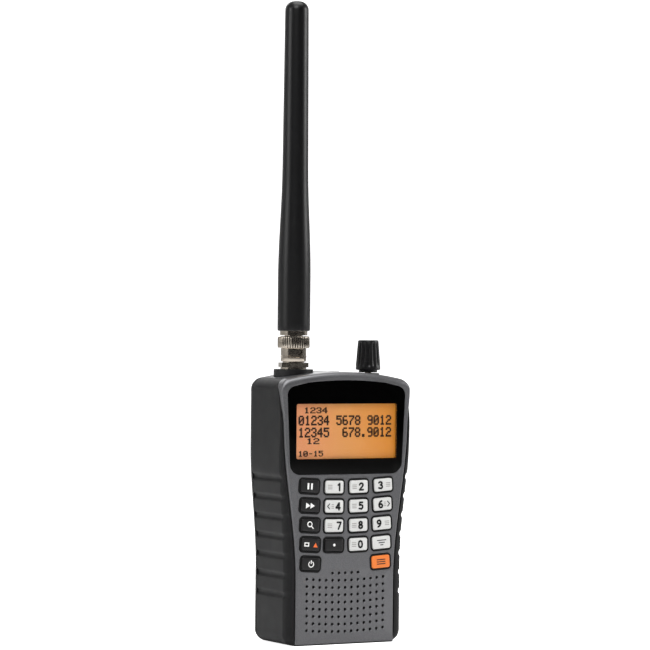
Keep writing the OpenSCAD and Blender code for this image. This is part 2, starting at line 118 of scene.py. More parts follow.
class ScannerSizes(bpy.types.PropertyGroup):
    foot_half: length("Foot half width", "Half width across the grips at the foot", 30.1, 28, 33)
    panel_half: length("Panel half width", "Half width of the hard front at the display", 32.0, 30, 33)
    panel_foot: length("Panel foot half width", "Half width of the hard front at the foot", 25.3, 23, 28)
    arch_radius: length("Top arch radius", "Radius of the arch across the top", 140.0, 110, 220)
    top_round: length("Top front rounding", "Rounding between front and top", 2.8, 1, 2.9)
    side_round: length("Side rounding", "Rounding of the panel's upright edges", 0.9, 0.4, 1.5)
    rear_round: length("Rear rounding", "Rounding of the rear edges", 4.8, 3, 5)
    corner: length("Corner radius", "Radius of the outline's four corners", 5.4, 5, 7)
    groove_depth: length("Groove depth", "Depth of the finger grooves", 0.7, 0.1, 0.8)
    groove_pitch: length("Groove pitch", "Distance between finger grooves", 8.65, 8, 9)
    hole_pitch: length("Sound hole pitch", "Distance between sound holes", 3.28, 3, 3.5)
    hole_radius: length("Sound hole radius", "Radius of a sound hole", 0.68, 0.4, 0.9)


class ScannerColours(bpy.types.PropertyGroup):
    front: colour("Front paint", "Metallic paint of the front shell", "#5F5F61")
    plastic: colour("Black plastic", "Rear shell, door and clip", "#0B0B0C")
    rubber: colour("Grip rubber", "Rubber of the grips", "#0A0A0B")
    key_light: colour("Light keys", "Light key caps", "#C2C2C0")
    key_dark: colour("Dark keys", "Dark key caps", "#0E0D0E")
    key_orange: colour("Orange key", "Orange key cap", "#D67230")
    lit_left: colour("Display left", "Lit display towards its left", "#CE875B")
    lit_right: colour("Display right", "Lit display towards its right", "#C97F2A")
    ink: colour("Display characters", "Dark dots of the display", "#1E0803")


def sizes():
    return bpy.context.scene.scanner_sizes


def colours():
    return bpy.context.scene.scanner_colours


# ---------------------------------------------------------------- materials


def linear(code):
    """sRGB hex to linear RGBA."""
    parts = [int(code[i:i + 2], 16) / 255 for i in (1, 3, 5)]
    return tuple(c / 12.92 if c <= 0.04045 else ((c + 0.055) / 1.055) ** 2.4 for c in parts) + (1.0,)


def fill(node, **inputs):
    """Give a node its inputs: a value, or another node's output socket to link. i0 is the first input."""
    for key, value in inputs.items():
        name = int(key[1:]) if key[0] == "i" and key[1:].isdigit() else key.replace("_", " ")
        socket = node.inputs[name]
        if isinstance(value, bpy.types.NodeSocket):
            node.id_data.links.new(value, socket)
        else:
            socket.default_value = value
    return node


def add_node(tree, kind, settings=None, **inputs):
    node = tree.nodes.new(kind)
    for key, value in (settings or {}).items():
        setattr(node, key, value)
    return fill(node, **inputs)


def new_material(name):
    """A material with its Principled shader and the object's own coordinates in metres."""
    mat = bpy.data.materials.new(name)
    mat.use_nodes = True
    tree = mat.node_tree
    place = add_node(tree, "ShaderNodeTexCoord").outputs["Object"]
    return mat, tree, tree.nodes["Principled BSDF"], place


def bump_from(tree, shader, height, depth_mm, strength=1.0):
    bump = add_node(tree, "ShaderNodeBump", Height=height, Distance=depth_mm * MM, Strength=strength)
    fill(shader, Normal=bump.outputs["Normal"])


def grain(tree, place, size_mm, detail=2.0, rough=0.5):
    """Noise whose features are about size_mm across."""
    scale = 1 / (size_mm * MM)
    noise = add_node(tree, "ShaderNodeTexNoise", Vector=place, Scale=scale, Detail=detail, Roughness=rough)
    return noise.outputs[0]


def cells_of(tree, place, size_mm, settings, **inputs):
    """Distances of a Voronoi pattern whose cells are size_mm across."""
    scale = 1 / (size_mm * MM)
    pattern = add_node(tree, "ShaderNodeTexVoronoi", settings, Vector=place, Scale=scale, **inputs)
    return pattern.outputs["Distance"]


def along(tree, place, axis, low, high):
    """0 to 1 between two places on an axis."""
    value = add_node(tree, "ShaderNodeSeparateXYZ", Vector=place).outputs[axis]
    run = add_node(tree, "ShaderNodeMapRange", Value=value, From_Min=low * MM, From_Max=high * MM)
    return run.outputs[0]


def ramp(tree, fac, *stops):
    """Colours at positions. A stop's colour is a tuple, or a number for a grey."""
    stops = [(at, tint if isinstance(tint, tuple) else (tint, tint, tint, 1.0)) for at, tint in stops]
    node = add_node(tree, "ShaderNodeValToRGB", Fac=fac)
    ends = node.color_ramp.elements
    ends[0].position, ends[0].color = stops[0]
    ends[1].position, ends[1].color = stops[-1]
    for position, tint in stops[1:-1]:
        ends.new(position).color = tint
    return node.outputs["Color"]


def mix(tree, amount, first, second, blend="MIX"):
    node = add_node(tree, "ShaderNodeMixRGB", {"blend_type": blend}, i0=amount, i1=first, i2=second)
    return node.outputs[0]


def calculate(tree, operation, *values):
    inputs = {f"i{i}": value for i, value in enumerate(values)}
    return add_node(tree, "ShaderNodeMath", {"operation": operation}, **inputs).outputs[0]


def shade(tint, factor):
    return tuple(c * factor for c in tint[:3]) + (1.0,)


def painted_edge_shading(tree, tint, edge_tint):
    """Painted highlight: a lighter colour on convex edges, from the surface's own convexity. Given a darker
    edge tint, it paints the edges darker instead.
    """
    convex = add_node(tree, "ShaderNodeNewGeometry").outputs["Pointiness"]
    return mix(tree, ramp(tree, convex, (0.52, 0.0), (0.60, 0.5)), tint, edge_tint)


def metallic_paint():
    """Metallic lacquer sprayed on moulded ABS: dark grey, with a satin sheen and very fine flakes."""
    mat, tree, shader, place = new_material("metallic_paint_on_abs")
    base = linear(colours().front)
    flake = grain(tree, place, 0.35, 1.0)  # real flake is 0.03 mm, drawn coarser so that it shows
    cloud = grain(tree, place, 18)
    speckle = ramp(tree, flake, (0.35, shade(base, 0.86)), (0.65, shade(base, 1.14)))
    tone = mix(tree, 0.25, speckle, ramp(tree, cloud, (0.3, 0.86), (0.7, 1.0)), "MULTIPLY")
    fill(
        shader,
        # convex edges are painted lighter: a painted highlight
        Base_Color=painted_edge_shading(tree, tone, shade(base, 1.35)),
        Roughness=ramp(tree, cloud, (0.3, 0.34), (0.7, 0.42)),
        Metallic=0.75,
    )
    bump_from(tree, shader, flake, 0.012, 0.5)
    return mat


def moulded_black():
    """Moulded black ABS with a spark-eroded texture: deep grey, dry highlights, a fine even grain."""
    mat, tree, shader, place = new_material("spark_textured_abs")
    base = linear(colours().plastic)
    spark = grain(tree, place, 0.45, 3.0, 0.6)
    tone = ramp(tree, spark, (0.3, shade(base, 0.85)), (0.7, shade(base, 1.15)))
    fill(
        shader,
        # convex edges are painted lighter: a painted highlight
        Base_Color=painted_edge_shading(tree, tone, shade(base, 2.2)),
        Roughness=ramp(tree, spark, (0.3, 0.42), (0.7, 0.56)),
        Specular_IOR_Level=0.3,
    )
    bump_from(tree, shader, spark, 0.02, 0.7)
    return mat


def grip_rubber():
    """Overmoulded thermoplastic rubber: a matt charcoal with a soft sheen and a faint leathery grain."""
    mat, tree, shader, place = new_material("overmoulded_tpe")
    base = linear(colours().rubber)
    skin = cells_of(tree, place, 0.6, {"feature": "DISTANCE_TO_EDGE"})
    dust = grain(tree, place, 9, 3.0)
    tone = ramp(tree, dust, (0.3, shade(base, 0.86)), (0.75, shade(base, 1.2)))
    fill(
        shader,
        # convex edges are painted lighter: a painted highlight
        Base_Color=painted_edge_shading(tree, tone, shade(base, 1.7)),
        Roughness=ramp(tree, dust, (0.3, 0.5), (0.7, 0.58)),
        Specular_IOR_Level=0.22,
    )
    bump_from(tree, shader, ramp(tree, skin, (0.0, 0.0), (0.3, 1.0)), 0.012, 0.5)
    return mat


def gloss_black():
    """Polished acrylic printed black on its back: a deep, mirror-smooth black."""
    mat, tree, shader, place = new_material("back_printed_acrylic")
    smear = ramp(tree, grain(tree, place, 14), (0.35, 0.03), (0.7, 0.07))
    # a hard coat keeps its reflections low
    fill(shader, Roughness=smear, Base_Color=linear("#020202"), IOR=1.49, Specular_IOR_Level=0.1)
    return mat


def clear_acrylic():
    """Clear cast acrylic: see-through, with the same polish as its printed border."""
    mat, tree, shader, place = new_material("clear_acrylic")
    smear = ramp(tree, grain(tree, place, 14), (0.35, 0.02), (0.7, 0.05))
    # the low IOR is because a thin pane in front of a lit glass bends nothing that shows
    fill(shader, Roughness=smear, Base_Color=(1, 1, 1, 1), Transmission_Weight=1.0, IOR=1.1)
    return mat


def lit_display():
    """Backlit liquid crystal glass: amber, pinker on the left, with a faint dot grid."""
    mat, tree, shader, place = new_material("lit_lcd_glass")
    low, high = span("lcd_panel")
    wash = grain(tree, place, 22, 1.0)
    mixed = calculate(tree, "MULTIPLY_ADD", wash, 0.25, along(tree, place, "X", low.x, high.x))
    left, right = linear(colours().lit_left), linear(colours().lit_right)
    glow = ramp(tree, mixed, (0.2, left), (0.62, linear("#CC8B4A")), (1.0, right))
    dots = cells_of(tree, place, 0.42, {"distance": "CHEBYCHEV"}, Randomness=0.0)
    lit = mix(tree, 0.25, glow, ramp(tree, dots, (0.38, 1.0), (0.5, 0.72)), "MULTIPLY")
    fill(shader, Base_Color=lit, Emission_Color=lit, Emission_Strength=0.19, Roughness=0.35)
    return mat


def plain(name, code, roughness, metallic=0.0, size_mm=0.5, depth_mm=0.004, vary=0.1, specular=0.4):
    """A fine-grained surface of one colour, for small parts: its grain, gloss and tone vary a little."""
    mat, tree, shader, place = new_material(name)
    base = linear(code)
    noise = grain(tree, place, size_mm)
    fill(
        shader,
        Base_Color=ramp(tree, noise, (0.3, shade(base, 1 - vary)), (0.7, shade(base, 1 + vary))),
        Roughness=ramp(tree, noise, (0.3, roughness * 0.88), (0.7, roughness * 1.12)),
        Metallic=metallic,
        Specular_IOR_Level=specular,
    )
    bump_from(tree, shader, noise, depth_mm, 0.5)
    return mat


def key_plastic(name, code):
    """Satin lacquered key cap of silicone and polycarbonate: even colour, a painted highlight on the edges
    of dark and orange caps, and the edges of light caps painted darker.
    """
    mat, tree, shader, place = new_material(name)
    base = linear(code)
    noise = grain(tree, place, 0.5)
    tone = ramp(tree, noise, (0.3, shade(base, 0.95)), (0.7, shade(base, 1.04)))
    # painted highlight on the edges of dark and orange caps; the edges of light caps are painted darker
    painted_edge_tint = shade(base, 0.8 if base[1] > 0.3 else 1.6)
    fill(shader, Base_Color=painted_edge_shading(tree, tone, painted_edge_tint), Roughness=0.42, Specular_IOR_Level=0.3)
    bump_from(tree, shader, noise, 0.006, 0.4)
    return mat


def nickel_plate():
    """Nickel plate on turned brass: warm grey mirror with lathe lines and a few fine scratches."""
    mat, tree, shader, place = new_material("nickel_plated_brass")
    stretch = add_node(tree, "ShaderNodeMapping", Vector=place, Scale=(0.25, 0.25, 5.0)).outputs[0]
    turned = grain(tree, stretch, 0.6, 3.0, 0.6)
    base = linear("#B0A79B")
    fill(
        shader,
        Base_Color=ramp(tree, turned, (0.3, shade(base, 0.82)), (0.7, shade(base, 1.06))),
        Roughness=ramp(tree, turned, (0.3, 0.08), (0.7, 0.2)),
        Metallic=1.0,
    )
    bump_from(tree, shader, turned, 0.004, 0.5)
    return mat


def circuit_board():
    """Glass-epoxy board under green solder resist: glossy green with faint darker copper tracks."""
    mat, tree, shader, place = new_material("solder_resist_on_fr4")
    tracks = add_node(tree, "ShaderNodeTexBrick", Vector=place, Scale=1 / (2.4 * MM)).outputs["Fac"]
    tone = ramp(tree, tracks, (0.4, linear("#1B5A33")), (0.6, linear("#2E7A49")))
    fill(shader, Base_Color=tone, Roughness=0.3)
    return mat


def cell_film():
    """Printed shrink film on an AA cell: gloss black with a copper-coloured band at the positive end."""
    mat, tree, shader, place = new_material("printed_cell_film")
    low, high = span("cells")
    black, copper, bright = linear("#1D1D20"), linear("#B8863B"), linear("#C29044")
    run = along(tree, place, "Z", low.z, high.z)
    band = ramp(tree, run, (0.0, black), (0.66, black), (0.67, copper), (1.0, bright))
    fill(shader, Base_Color=band, Roughness=0.22, Metallic=0.3)
    return mat


# ---------------------------------------------------------------- mesh helpers


def smooth(low, high, value):
    """Smooth step from 0 to 1 between low and high."""
    t = max(0.0, min(1.0, (value - low) / (high - low)))
    return t * t * (3 - 2 * t)


def arc(x, z, radius, start, turn, steps):
    """Points of an arc about (x, z). Angles are in degrees."""
    angles = [math.radians(start + turn * i / steps) for i in range(steps + 1)]
    return [(x + radius * math.cos(a), z + radius * math.sin(a)) for a in angles]


def link_rings(bm, rings):
    """Quads between rings of the same number of points."""
    rows = [[bm.verts.new(p) for p in points] for points in rings]
    count = len(rows[0])
    for near, far in zip(rows, rows[1:]):
        for i in range(count):
            j = (i + 1) % count
            bm.faces.new((near[i], near[j], far[j], far[i]))
    return rows


def plate(bm, y, outer, holes=()):
    """Flat face at depth y bounded by an outline, with holes. Loops are lists of (x, z)."""
    points, edges, owner = [], [], []
    for number, loop in enumerate((outer, *holes)):
        start = len(points)
        points += [Vector(p) for p in loop]
        owner += [number] * len(loop)
        edges += [(start + i, start + (i + 1) % len(loop)) for i in range(len(loop))]
    made, _, faces, origin, *_ = geometry.delaunay_2d_cdt(points, edges, [], 1, 1e-6)
    crossed = [tuple(round(c, 2) for c in p) for p, source in zip(made, origin) if not source]
    if crossed:
        raise RuntimeError(f"outlines cross on the plate at depth {y:.2f}: {crossed[:8]}")
    verts = [bm.verts.new((p.x, y, p.y)) for p in made]
    for face in faces:
        owners = {owner[origin[i][0]] for i in face}
        centre = sum((made[i] for i in face), Vector((0, 0))) / len(face)
        in_hole = len(owners) == 1 and owners != {0}  # every hole is convex, so such a triangle fills it
        if in_hole or (owners == {0} and not inside(centre, outer)):
            continue
        bm.faces.new([verts[i] for i in face])


def inside(point, loop):
    """Whether a point lies within a closed loop of (x, z)."""
    crossings = 0
    for (ax, az), (bx, bz) in zip(loop, loop[1:] + loop[:1]):
        if (az > point.y) != (bz > point.y):
            crossings += point.x < ax + (point.y - az) * (bx - ax) / (bz - az)
    return crossings % 2 == 1


def flat(points):
    return [(p[0], p[2]) for p in points]


def raised(loop, y):
    return [(x, y, z) for x, z in loop]


def rounded_box_loop(half_x, half_z, radius, steps=5):
    """Rounded rectangle about the origin as a list of (x, z)."""
    loop = []
    for sx, sz, start in ((1, 1, 0), (-1, 1, 90), (-1, -1, 180), (1, -1, 270)):
        loop += arc(sx * (half_x - radius), sz * (half_z - radius), radius, start, 90, steps)
    return loop


def circle_loop(x, z, radius, count=18):
    return arc(x, z, radius, 0, 360, count)[:-1]


def box(x0, x1, z0, z1):
    """Corners of a rectangle in (x, z)."""
    return [(x0, z0), (x1, z0), (x1, z1), (x0, z1)]


def ring_shapes(x, z, radius, width, start, turn):
    """Sixteen shapes along a ring or a part of one."""
    outer, inner = arc(x, z, radius, start, turn, 16), arc(x, z, radius - width, start, turn, 16)
    return [[outer[k], outer[k + 1], inner[k + 1], inner[k]] for k in range(16)]


def pen(points, radius):
    """Shapes of a round pen's line through points: a bar for each stretch and a dot at each end."""
    shapes = [circle_loop(x, z, radius, 10) for x, z in points]
    for (ax, az), (bx, bz) in zip(points, points[1:]):
        long = math.hypot(bx - ax, bz - az)
        sx, sz = (az - bz) / long * radius, (bx - ax) / long * radius
        shapes.append([(ax + sx, az + sz), (ax - sx, az - sz), (bx - sx, bz - sz), (bx + sx, bz + sz)])
    return shapes


def revolve(bm, profile, count=64, centre=(0, 0), relief=None):
    """Solid of revolution about a vertical axis from (radius, z) points.

    relief(radius, z, angle) changes a radius."""
    rings = []
    for radius, z in profile:
        points = []
        for i in range(count):
            a = 2 * math.pi * i / count
            r = relief(radius, z, a) if relief else radius
            points.append((centre[0] + r * math.cos(a), centre[1] + r * math.sin(a), z))
        rings.append(points)
    link_rings(bm, rings)


def bar(bm, low, high, edge=0.0):
    """Box from low to high, with its edges bevelled."""
    size = Vector(high) - Vector(low)
    made = bmesh.ops.create_cube(bm, size=1.0)["verts"]
    bmesh.ops.scale(bm, vec=size, verts=made)
    bmesh.ops.translate(bm, vec=(Vector(high) + Vector(low)) / 2, verts=made)
    if edge:
        edges = {e for v in made for e in v.link_edges}
        bmesh.ops.bevel(bm, geom=list(edges), offset=edge, segments=3, affect="EDGES", profile=0.5)


def prism(bm, loop, y0, y1):
    """Closed prism of an (x, z) loop between two depths."""
    front, back = link_rings(bm, [raised(loop, y0), raised(loop, y1)])
    bm.faces.new(front)
    bm.faces.new(back)


def rod(bm, start, end, radius, count=24):
    """Closed cylinder between two points."""
    start, end = Vector(start), Vector(end)
    along_it = end - start
    turn = along_it.to_track_quat("Z", "Y").to_matrix().to_4x4()
    place = Matrix.Translation((start + end) / 2) @ turn
    ends = {"radius1": radius, "radius2": radius, "depth": along_it.length}
    bmesh.ops.create_cone(bm, cap_ends=True, segments=count, matrix=place, **ends)


def raw_object(name, bm):
    """Object in metres from a mesh drawn in millimetres."""
    bmesh.ops.remove_doubles(bm, verts=bm.verts, dist=WELD)
    bmesh.ops.dissolve_degenerate(bm, edges=bm.edges, dist=WELD / 4)
    bmesh.ops.recalc_face_normals(bm, faces=bm.faces)
    bm.transform(Matrix.Scale(MM, 4))
    mesh = bpy.data.meshes.new(name)
    bm.to_mesh(mesh)
    bm.free()
    piece = bpy.data.objects.new(name, mesh)
    bpy.context.scene.collection.objects.link(piece)
    return piece


def cut(piece, bm, operation="DIFFERENCE"):
    """Boolean of a piece with a closed tool, applied at once."""
    tool = raw_object("tool", bm)
    step = piece.modifiers.new("cut", "BOOLEAN")
    step.operation, step.object, step.solver = operation, tool, "EXACT"
    graph = bpy.context.evaluated_depsgraph_get()
    shaped = bpy.data.meshes.new_from_object(piece.evaluated_get(graph))
    piece.modifiers.clear()
    old, piece.data = piece.data, shaped
    bpy.data.meshes.remove(old)
    bpy.data.objects.remove(tool)
    if not shaped.polygons:
        raise RuntimeError(f"nothing is left of {piece.name}")


def cut_bar(piece, low, high, operation="DIFFERENCE"):
    tool = bmesh.new()
    bar(tool, low, high)
    cut(piece, tool, operation)


def dress(piece, material, body, nodes=(), angle=32, bevel=0.0):
    """Finish a piece: shading, material, the body it rides on and the nodes it stands for."""
    mesh = piece.data
    mesh.materials.clear()
    mesh.materials.append(material)
    mesh.shade_smooth()
    mesh.set_sharp_from_angle(angle=math.radians(angle))
    if bevel:
        soften(piece, bevel)
    weighted = piece.modifiers.new("weighted normals", "WEIGHTED_NORMAL")
    weighted.keep_sharp = True
    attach(piece, body)
    if nodes:
        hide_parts(*nodes)
    return piece


def soften(piece, width_mm):
    """Round a piece's sharp edges a little."""
    step = piece.modifiers.new("rounded edges", "BEVEL")
    step.width, step.segments = width_mm * MM, 3
    step.limit_method, step.angle_limit = "ANGLE", math.radians(35)
    step.harden_normals = True


def finish_node(node, material, bevel=0.0):
    """Give a CAD node its real material and, where it shows, rounded edges."""
    piece = bpy.data.objects[node]
    piece.data.materials.clear()
    piece.data.materials.append(material)
    if bevel:
        soften(piece, bevel)


# ---------------------------------------------------------------- shape of the case


class Edge:
    """One point of the case outline in the XZ plane: place, outward normal, how far in the front
    panel ends, whether rubber lies on it, and the panel's own point and normal there."""

    def __init__(self, x, z, nx, nz, panel=0.0, rubber=False, own=None):
        self.x, self.z, self.nx, self.nz, self.panel, self.rubber = x, z, nx, nz, panel, rubber
        self.own = own or (x - nx * panel, z - nz * panel, nx, nz)


def body_half(z):
    return sizes().foot_half + (BODY_HALF - sizes().foot_half) * smooth(35, 88, z)


def panel_half(z):
    return sizes().panel_foot + (sizes().panel_half - sizes().panel_foot) * smooth(30, 100, z)


def top_z(x):
    return BODY_TOP - x * x / (2 * sizes().arch_radius)


RUBBER_TOP = 77           # angle on the shoulder's arc at which the rubber ends, in degrees
FOOT_END = -81            # the same on the foot's arc
PANEL_FOOT_CORNER = 1.0
PANEL_MERGE = (98, 113)   # heights between which the panel widens to the whole case


def case_edge(heights):
    """Right half of the outline, from the middle of the foot to the middle of the top."""
    radius = sizes().corner
    contact = (BODY_HALF - radius) / (1 - radius / sizes().arch_radius)
    lean = math.atan(contact / sizes().arch_radius)
    centre_x = contact - radius * math.sin(lean)
    centre_z = top_z(contact) - radius * math.cos(lean)
    edge = [Edge(x, 0, 0, -1) for x in (0, 8, 16, 21)]
    for turn in range(-90, 1, 5):
        nx, nz = math.cos(math.radians(turn)), math.sin(math.radians(turn))
        x = sizes().foot_half - radius + radius * nx
        inset = max(0.0, x - sizes().panel_foot) / max(nx, 0.1)
        own_x = sizes().panel_foot - PANEL_FOOT_CORNER * (1 - nx)
        own = (own_x, PANEL_FOOT_CORNER * (1 + nz), nx, nz)
        edge.append(Edge(x, radius + radius * nz, nx, nz, inset, turn > FOOT_END, own))
    for z in heights:
        slope = body_half(z + 0.5) - body_half(z - 0.5)
        long = math.hypot(1, slope)
        inset = (body_half(z) - panel_half(z)) * (1 - smooth(*PANEL_MERGE, z))
        own = (body_half(z) - inset, z, 1.0, 0.0)
        edge.append(Edge(body_half(z), z, 1 / long, -slope / long, inset, True, own))
    top_angle = 90 - math.degrees(lean)
    for i in range(13):
        turn = top_angle * i / 12
        nx, nz = math.cos(math.radians(turn)), math.sin(math.radians(turn))
        edge.append(Edge(centre_x + radius * nx, centre_z + radius * nz, nx, nz, 0.0, turn < RUBBER_TOP))
    for x in range(27, -1, -3):
        tilt = math.atan(x / sizes().arch_radius)
        edge.append(Edge(x, top_z(x), math.sin(tilt), math.cos(tilt)))
    return edge


def ring(edge, inset, y, panel=False):
    """Closed ring round the case, or round the front panel, which is narrower.

    inset and y are numbers, or functions of an Edge."""
    right = []
    for e in edge:
        x, z, nx, nz = e.own if panel else (e.x, e.z, e.nx, e.nz)
        deep = inset(e) if callable(inset) else inset
        right.append((x - nx * deep, y(e) if callable(y) else y, z - nz * deep))
    return right + [(-x, depth, z) for x, depth, z in reversed(right[1:-1])]


SIDE_HEIGHTS = [8 + 4 * i for i in range(27)]
SPLIT_Y = span("rear_shell")[0].y + 1.8  # parting plane, behind the tray's front wall
GRIP_BACK = span("grip_left")[1].y
BED = 1.3           # depth of the bed that the rubber lies in
WALL = 1.6
PANEL_WALL = 0.9    # side wall of the front panel, less than its foot corner's radius
REAR_WALL = 1.8
GLASS_Y = span("lcd_panel")[0].y
WINDOW_HALF = 25.85
WINDOW_PLAY = 0.8   # from the lens's clear window to the opening behind it
LENS_PLAY = 0.12
KEY_PLAY = 0.7      # from a key to the edge of its opening
KEY_ARC = 0.00174   # rise of a key row across the panel, per mm squared
KEY_HALF = (4.85, 3.05)
CAP_INSET = -0.22   # the printed cap is a little smaller than the key's stem
HOLE_TOP, HOLE_RISE = 28.75, 0.00264  # first full row of sound holes and its rise per mm squared


def rubber_front(z):
    """Depth at which the rubber starts: it draws back round the shoulder."""
    return FRONT_Y + 0.6 + 2.0 * smooth(98, 113, z) + 3.2 * smooth(112, 118.5, z)


def bed(e):
    return BED if e.rubber else 0.0


def bed_front(e):
    """Depth at which the hard case steps in under the rubber."""
    deep = smooth(0.3, 0.9, e.panel)
    return deep * (FRONT_Y + 3.5) + (1 - deep) * (rubber_front(e.z) - 0.12)


def front_round(e):
    """Rounding between the front face and the sides, larger along the top."""
    s = sizes()
    top, foot = smooth(0.25, 0.95, e.nz), smooth(0.25, 0.95, -e.nz)
    return s.side_round + (s.top_round - s.side_round) * top + 0.7 * foot


def lens_loop(grow=0.0):
    """Outline of the gloss lens: arched top, straight foot, slightly narrower below."""
    low, high = span("display_lens")
    half, top = high.x + grow, high.z + grow
    points = arc(half - 6.5, low.z - grow + 5, 5, -90, 86, 6)
    points += arc(half - 4, top - 6.6, 4, 0, 78, 6)
    points += [(x, top - x * x / 366) for x in (20, 15, 10, 5)]
    return points + [(0, top)] + [(-x, z) for x, z in reversed(points)]


def window_loop(grow=0.0):
    low, high = span("lcd_panel")
    bottom, top = low.z + 1.6, high.z - 1.3
    loop = rounded_box_loop(WINDOW_HALF + grow, (top - bottom) / 2 + grow, 0.9 + max(grow, 0))
    return [(x, z + (top + bottom) / 2) for x, z in loop]


def on_key(node, points):
    """Points about a key's centre, moved and tilted with the key."""
    centre = middle(node)
    tilt = -math.atan(2 * KEY_ARC * centre.x)
    c, s = math.cos(tilt), math.sin(tilt)
    return [(centre.x + x * c + z * s, centre.z - x * s + z * c) for x, z in points]


def key_loop(node, grow):
    return on_key(node, rounded_box_loop(KEY_HALF[0] + grow, KEY_HALF[1] + grow, max(0.25, 1.2 + grow)))


def sound_holes(radius):
    """Loops of the loudspeaker's holes: eight curved rows and a short one on top."""
    pitch = sizes().hole_pitch
    spots = [(c * pitch, HOLE_TOP - r * pitch) for r in range(8) for c in range(-6, 7)]
    spots += [(c * pitch, HOLE_TOP + pitch) for c in range(-2, 3)]
    return [circle_loop(x, z + HOLE_RISE * x * x, radius, 14) for x, z in spots]


def through_hole(bm, chamfer, loop):
    """Wall of an opening down to the display glass, with a fine chamfer at its front."""
    link_rings(bm, [raised(chamfer, FRONT_Y), raised(loop, FRONT_Y + 0.12), raised(loop, GLASS_Y)])


def case_front(edge):
    """Closed front half of the case with its openings."""
    bm = bmesh.new()
    rings = []
    for i in range(7):
        a = math.radians(15 * i)
        rings.append(ring(
            edge,
            lambda e: front_round(e) * (1 - math.sin(a)),
            lambda e: FRONT_Y + front_round(e) * (1 - math.cos(a)),
            panel=True,
        ))
    rings += [
        ring(edge, 0.0, bed_front, panel=True),
        ring(edge, bed, lambda e: bed_front(e) + 0.15),
        ring(edge, bed, SPLIT_Y),
        ring(edge, lambda e: bed(e) + WALL, SPLIT_Y),
        ring(edge, lambda e: bed(e) + WALL, FRONT_Y + 5.6),
        ring(edge, PANEL_WALL, FRONT_Y + 5.0, panel=True),
        ring(edge, PANEL_WALL, GLASS_Y, panel=True),
    ]
    link_rings(bm, rings)
    chamfer = 0.12
    loops = [key_loop(node, KEY_PLAY) for node in KEYS] + sound_holes(sizes().hole_radius)
    wide = [key_loop(node, KEY_PLAY + chamfer) for node in KEYS] + sound_holes(sizes().hole_radius + chamfer)
    for outer, inner in zip(wide, loops):
        through_hole(bm, outer, inner)
    pocket = FRONT_Y + 1.0
    mouth, lens, window = lens_loop(LENS_PLAY + 0.1), lens_loop(LENS_PLAY), window_loop(WINDOW_PLAY)
    link_rings(bm, [raised(mouth, FRONT_Y), raised(lens, FRONT_Y + 0.1), raised(lens, pocket)])
    link_rings(bm, [raised(window, pocket), raised(window, GLASS_Y)])
    plate(bm, FRONT_Y, flat(rings[0]), wide + [mouth])
    plate(bm, pocket, lens, [window])
    plate(bm, GLASS_Y, flat(rings[-1]), loops + [window])
    return bm


def rear_rings(edge):
    """Rings of the rounded rear edge, ending on the flat back."""
    back = sizes().rear_round
    rings = []
    for i in range(8):
        a = math.radians(90 * i / 7)
        rings.append(ring(edge, back * (1 - math.cos(a)), BACK_Y - back * (1 - math.sin(a))))
    return rings


def case_rear(edge):
    """Closed rear half of the case, before the battery bay and screw recesses are cut."""
    bm = bmesh.new()
    rings = [ring(edge, bed, SPLIT_Y), ring(edge, bed, GRIP_BACK - 0.05), ring(edge, 0.0, GRIP_BACK + 0.05)]
    rings += rear_rings(edge)
    link_rings(bm, rings)
    inner = [
        ring(edge, lambda e: bed(e) + WALL, SPLIT_Y),
        ring(edge, lambda e: bed(e) + WALL, 10.5),
        ring(edge, 5.3, BACK_Y - REAR_WALL),
    ]
    link_rings(bm, [rings[0]] + inner)
    plate(bm, BACK_Y, flat(rings[-1]))
    plate(bm, BACK_Y - REAR_WALL, flat(inner[-1]))
    return bm


def rear_block(edge):
    """The rear half as a solid, for shapes that follow its outside."""
    bm = bmesh.new()
    rings = [ring(edge, 0.0, 5.0)] + rear_rings(edge)
    link_rings(bm, rings)
    plate(bm, 5.0, flat(rings[0]))
    plate(bm, BACK_Y, flat(rings[-1]))
    return bm


GROOVE_TOP = 74.8
GROOVES = 7
GROOVE_HALF = 1.75
GROOVE_STEPS = (0.5, 0.8, 1.1, 1.4, 1.75, 2.1)  # sections on either side of a groove's middle


def groove(z):
    """How deep a finger groove is at a height, from 0 to 1."""
    nearest = max(0, min(GROOVES - 1, round((GROOVE_TOP - z) / sizes().groove_pitch)))
    away = abs(z - (GROOVE_TOP - nearest * sizes().groove_pitch))
    return 1 - smooth(0.35, GROOVE_HALF, away)


def grip_heights():
    """Heights of a grip's sections, close together at each groove."""
    heights = [8 + 2.0 * i for i in range(53)]
    for i in range(GROOVES):
        centre = GROOVE_TOP - i * sizes().groove_pitch
        heights = [z for z in heights if abs(z - centre) > 2.3]
        heights += [centre] + [centre + side * d for d in GROOVE_STEPS for side in (-1, 1)]
    return sorted(heights)


def grip_section(e):
    """Closed section of a grip as (inset, y) pairs."""
    proud = 0.3 * smooth(76.2, 77.4, e.z) * (1 - smooth(114, 118.5, e.z))
    dip = sizes().groove_depth * groove(e.z) - proud
    front, rear = rubber_front(e.z), GRIP_BACK - 0.05
    wide = e.panel > 0.9
    base = BED - 0.02
    inner = e.panel - 0.45 if wide else base
    corner = min(max(0.35, min(3.4, e.panel - 0.55)), inner - 0.12)
    bottom = FRONT_Y + 3.4 if wide else front + 0.3
    points = [(inner, bottom), (inner, front + 0.24), (inner - 0.1, front + 0.02)]
    for i in range(7):
        c, s = math.cos(math.radians(15 * i)), math.sin(math.radians(15 * i))
        points.append((corner * (1 - s) + dip * s, front + corner * (1 - c)))
    points += [(dip, rear - 0.5), (dip + 0.12, rear - 0.15), (dip + 0.4, rear)]
    return points + [(base, rear), (base, bottom + 0.05)]


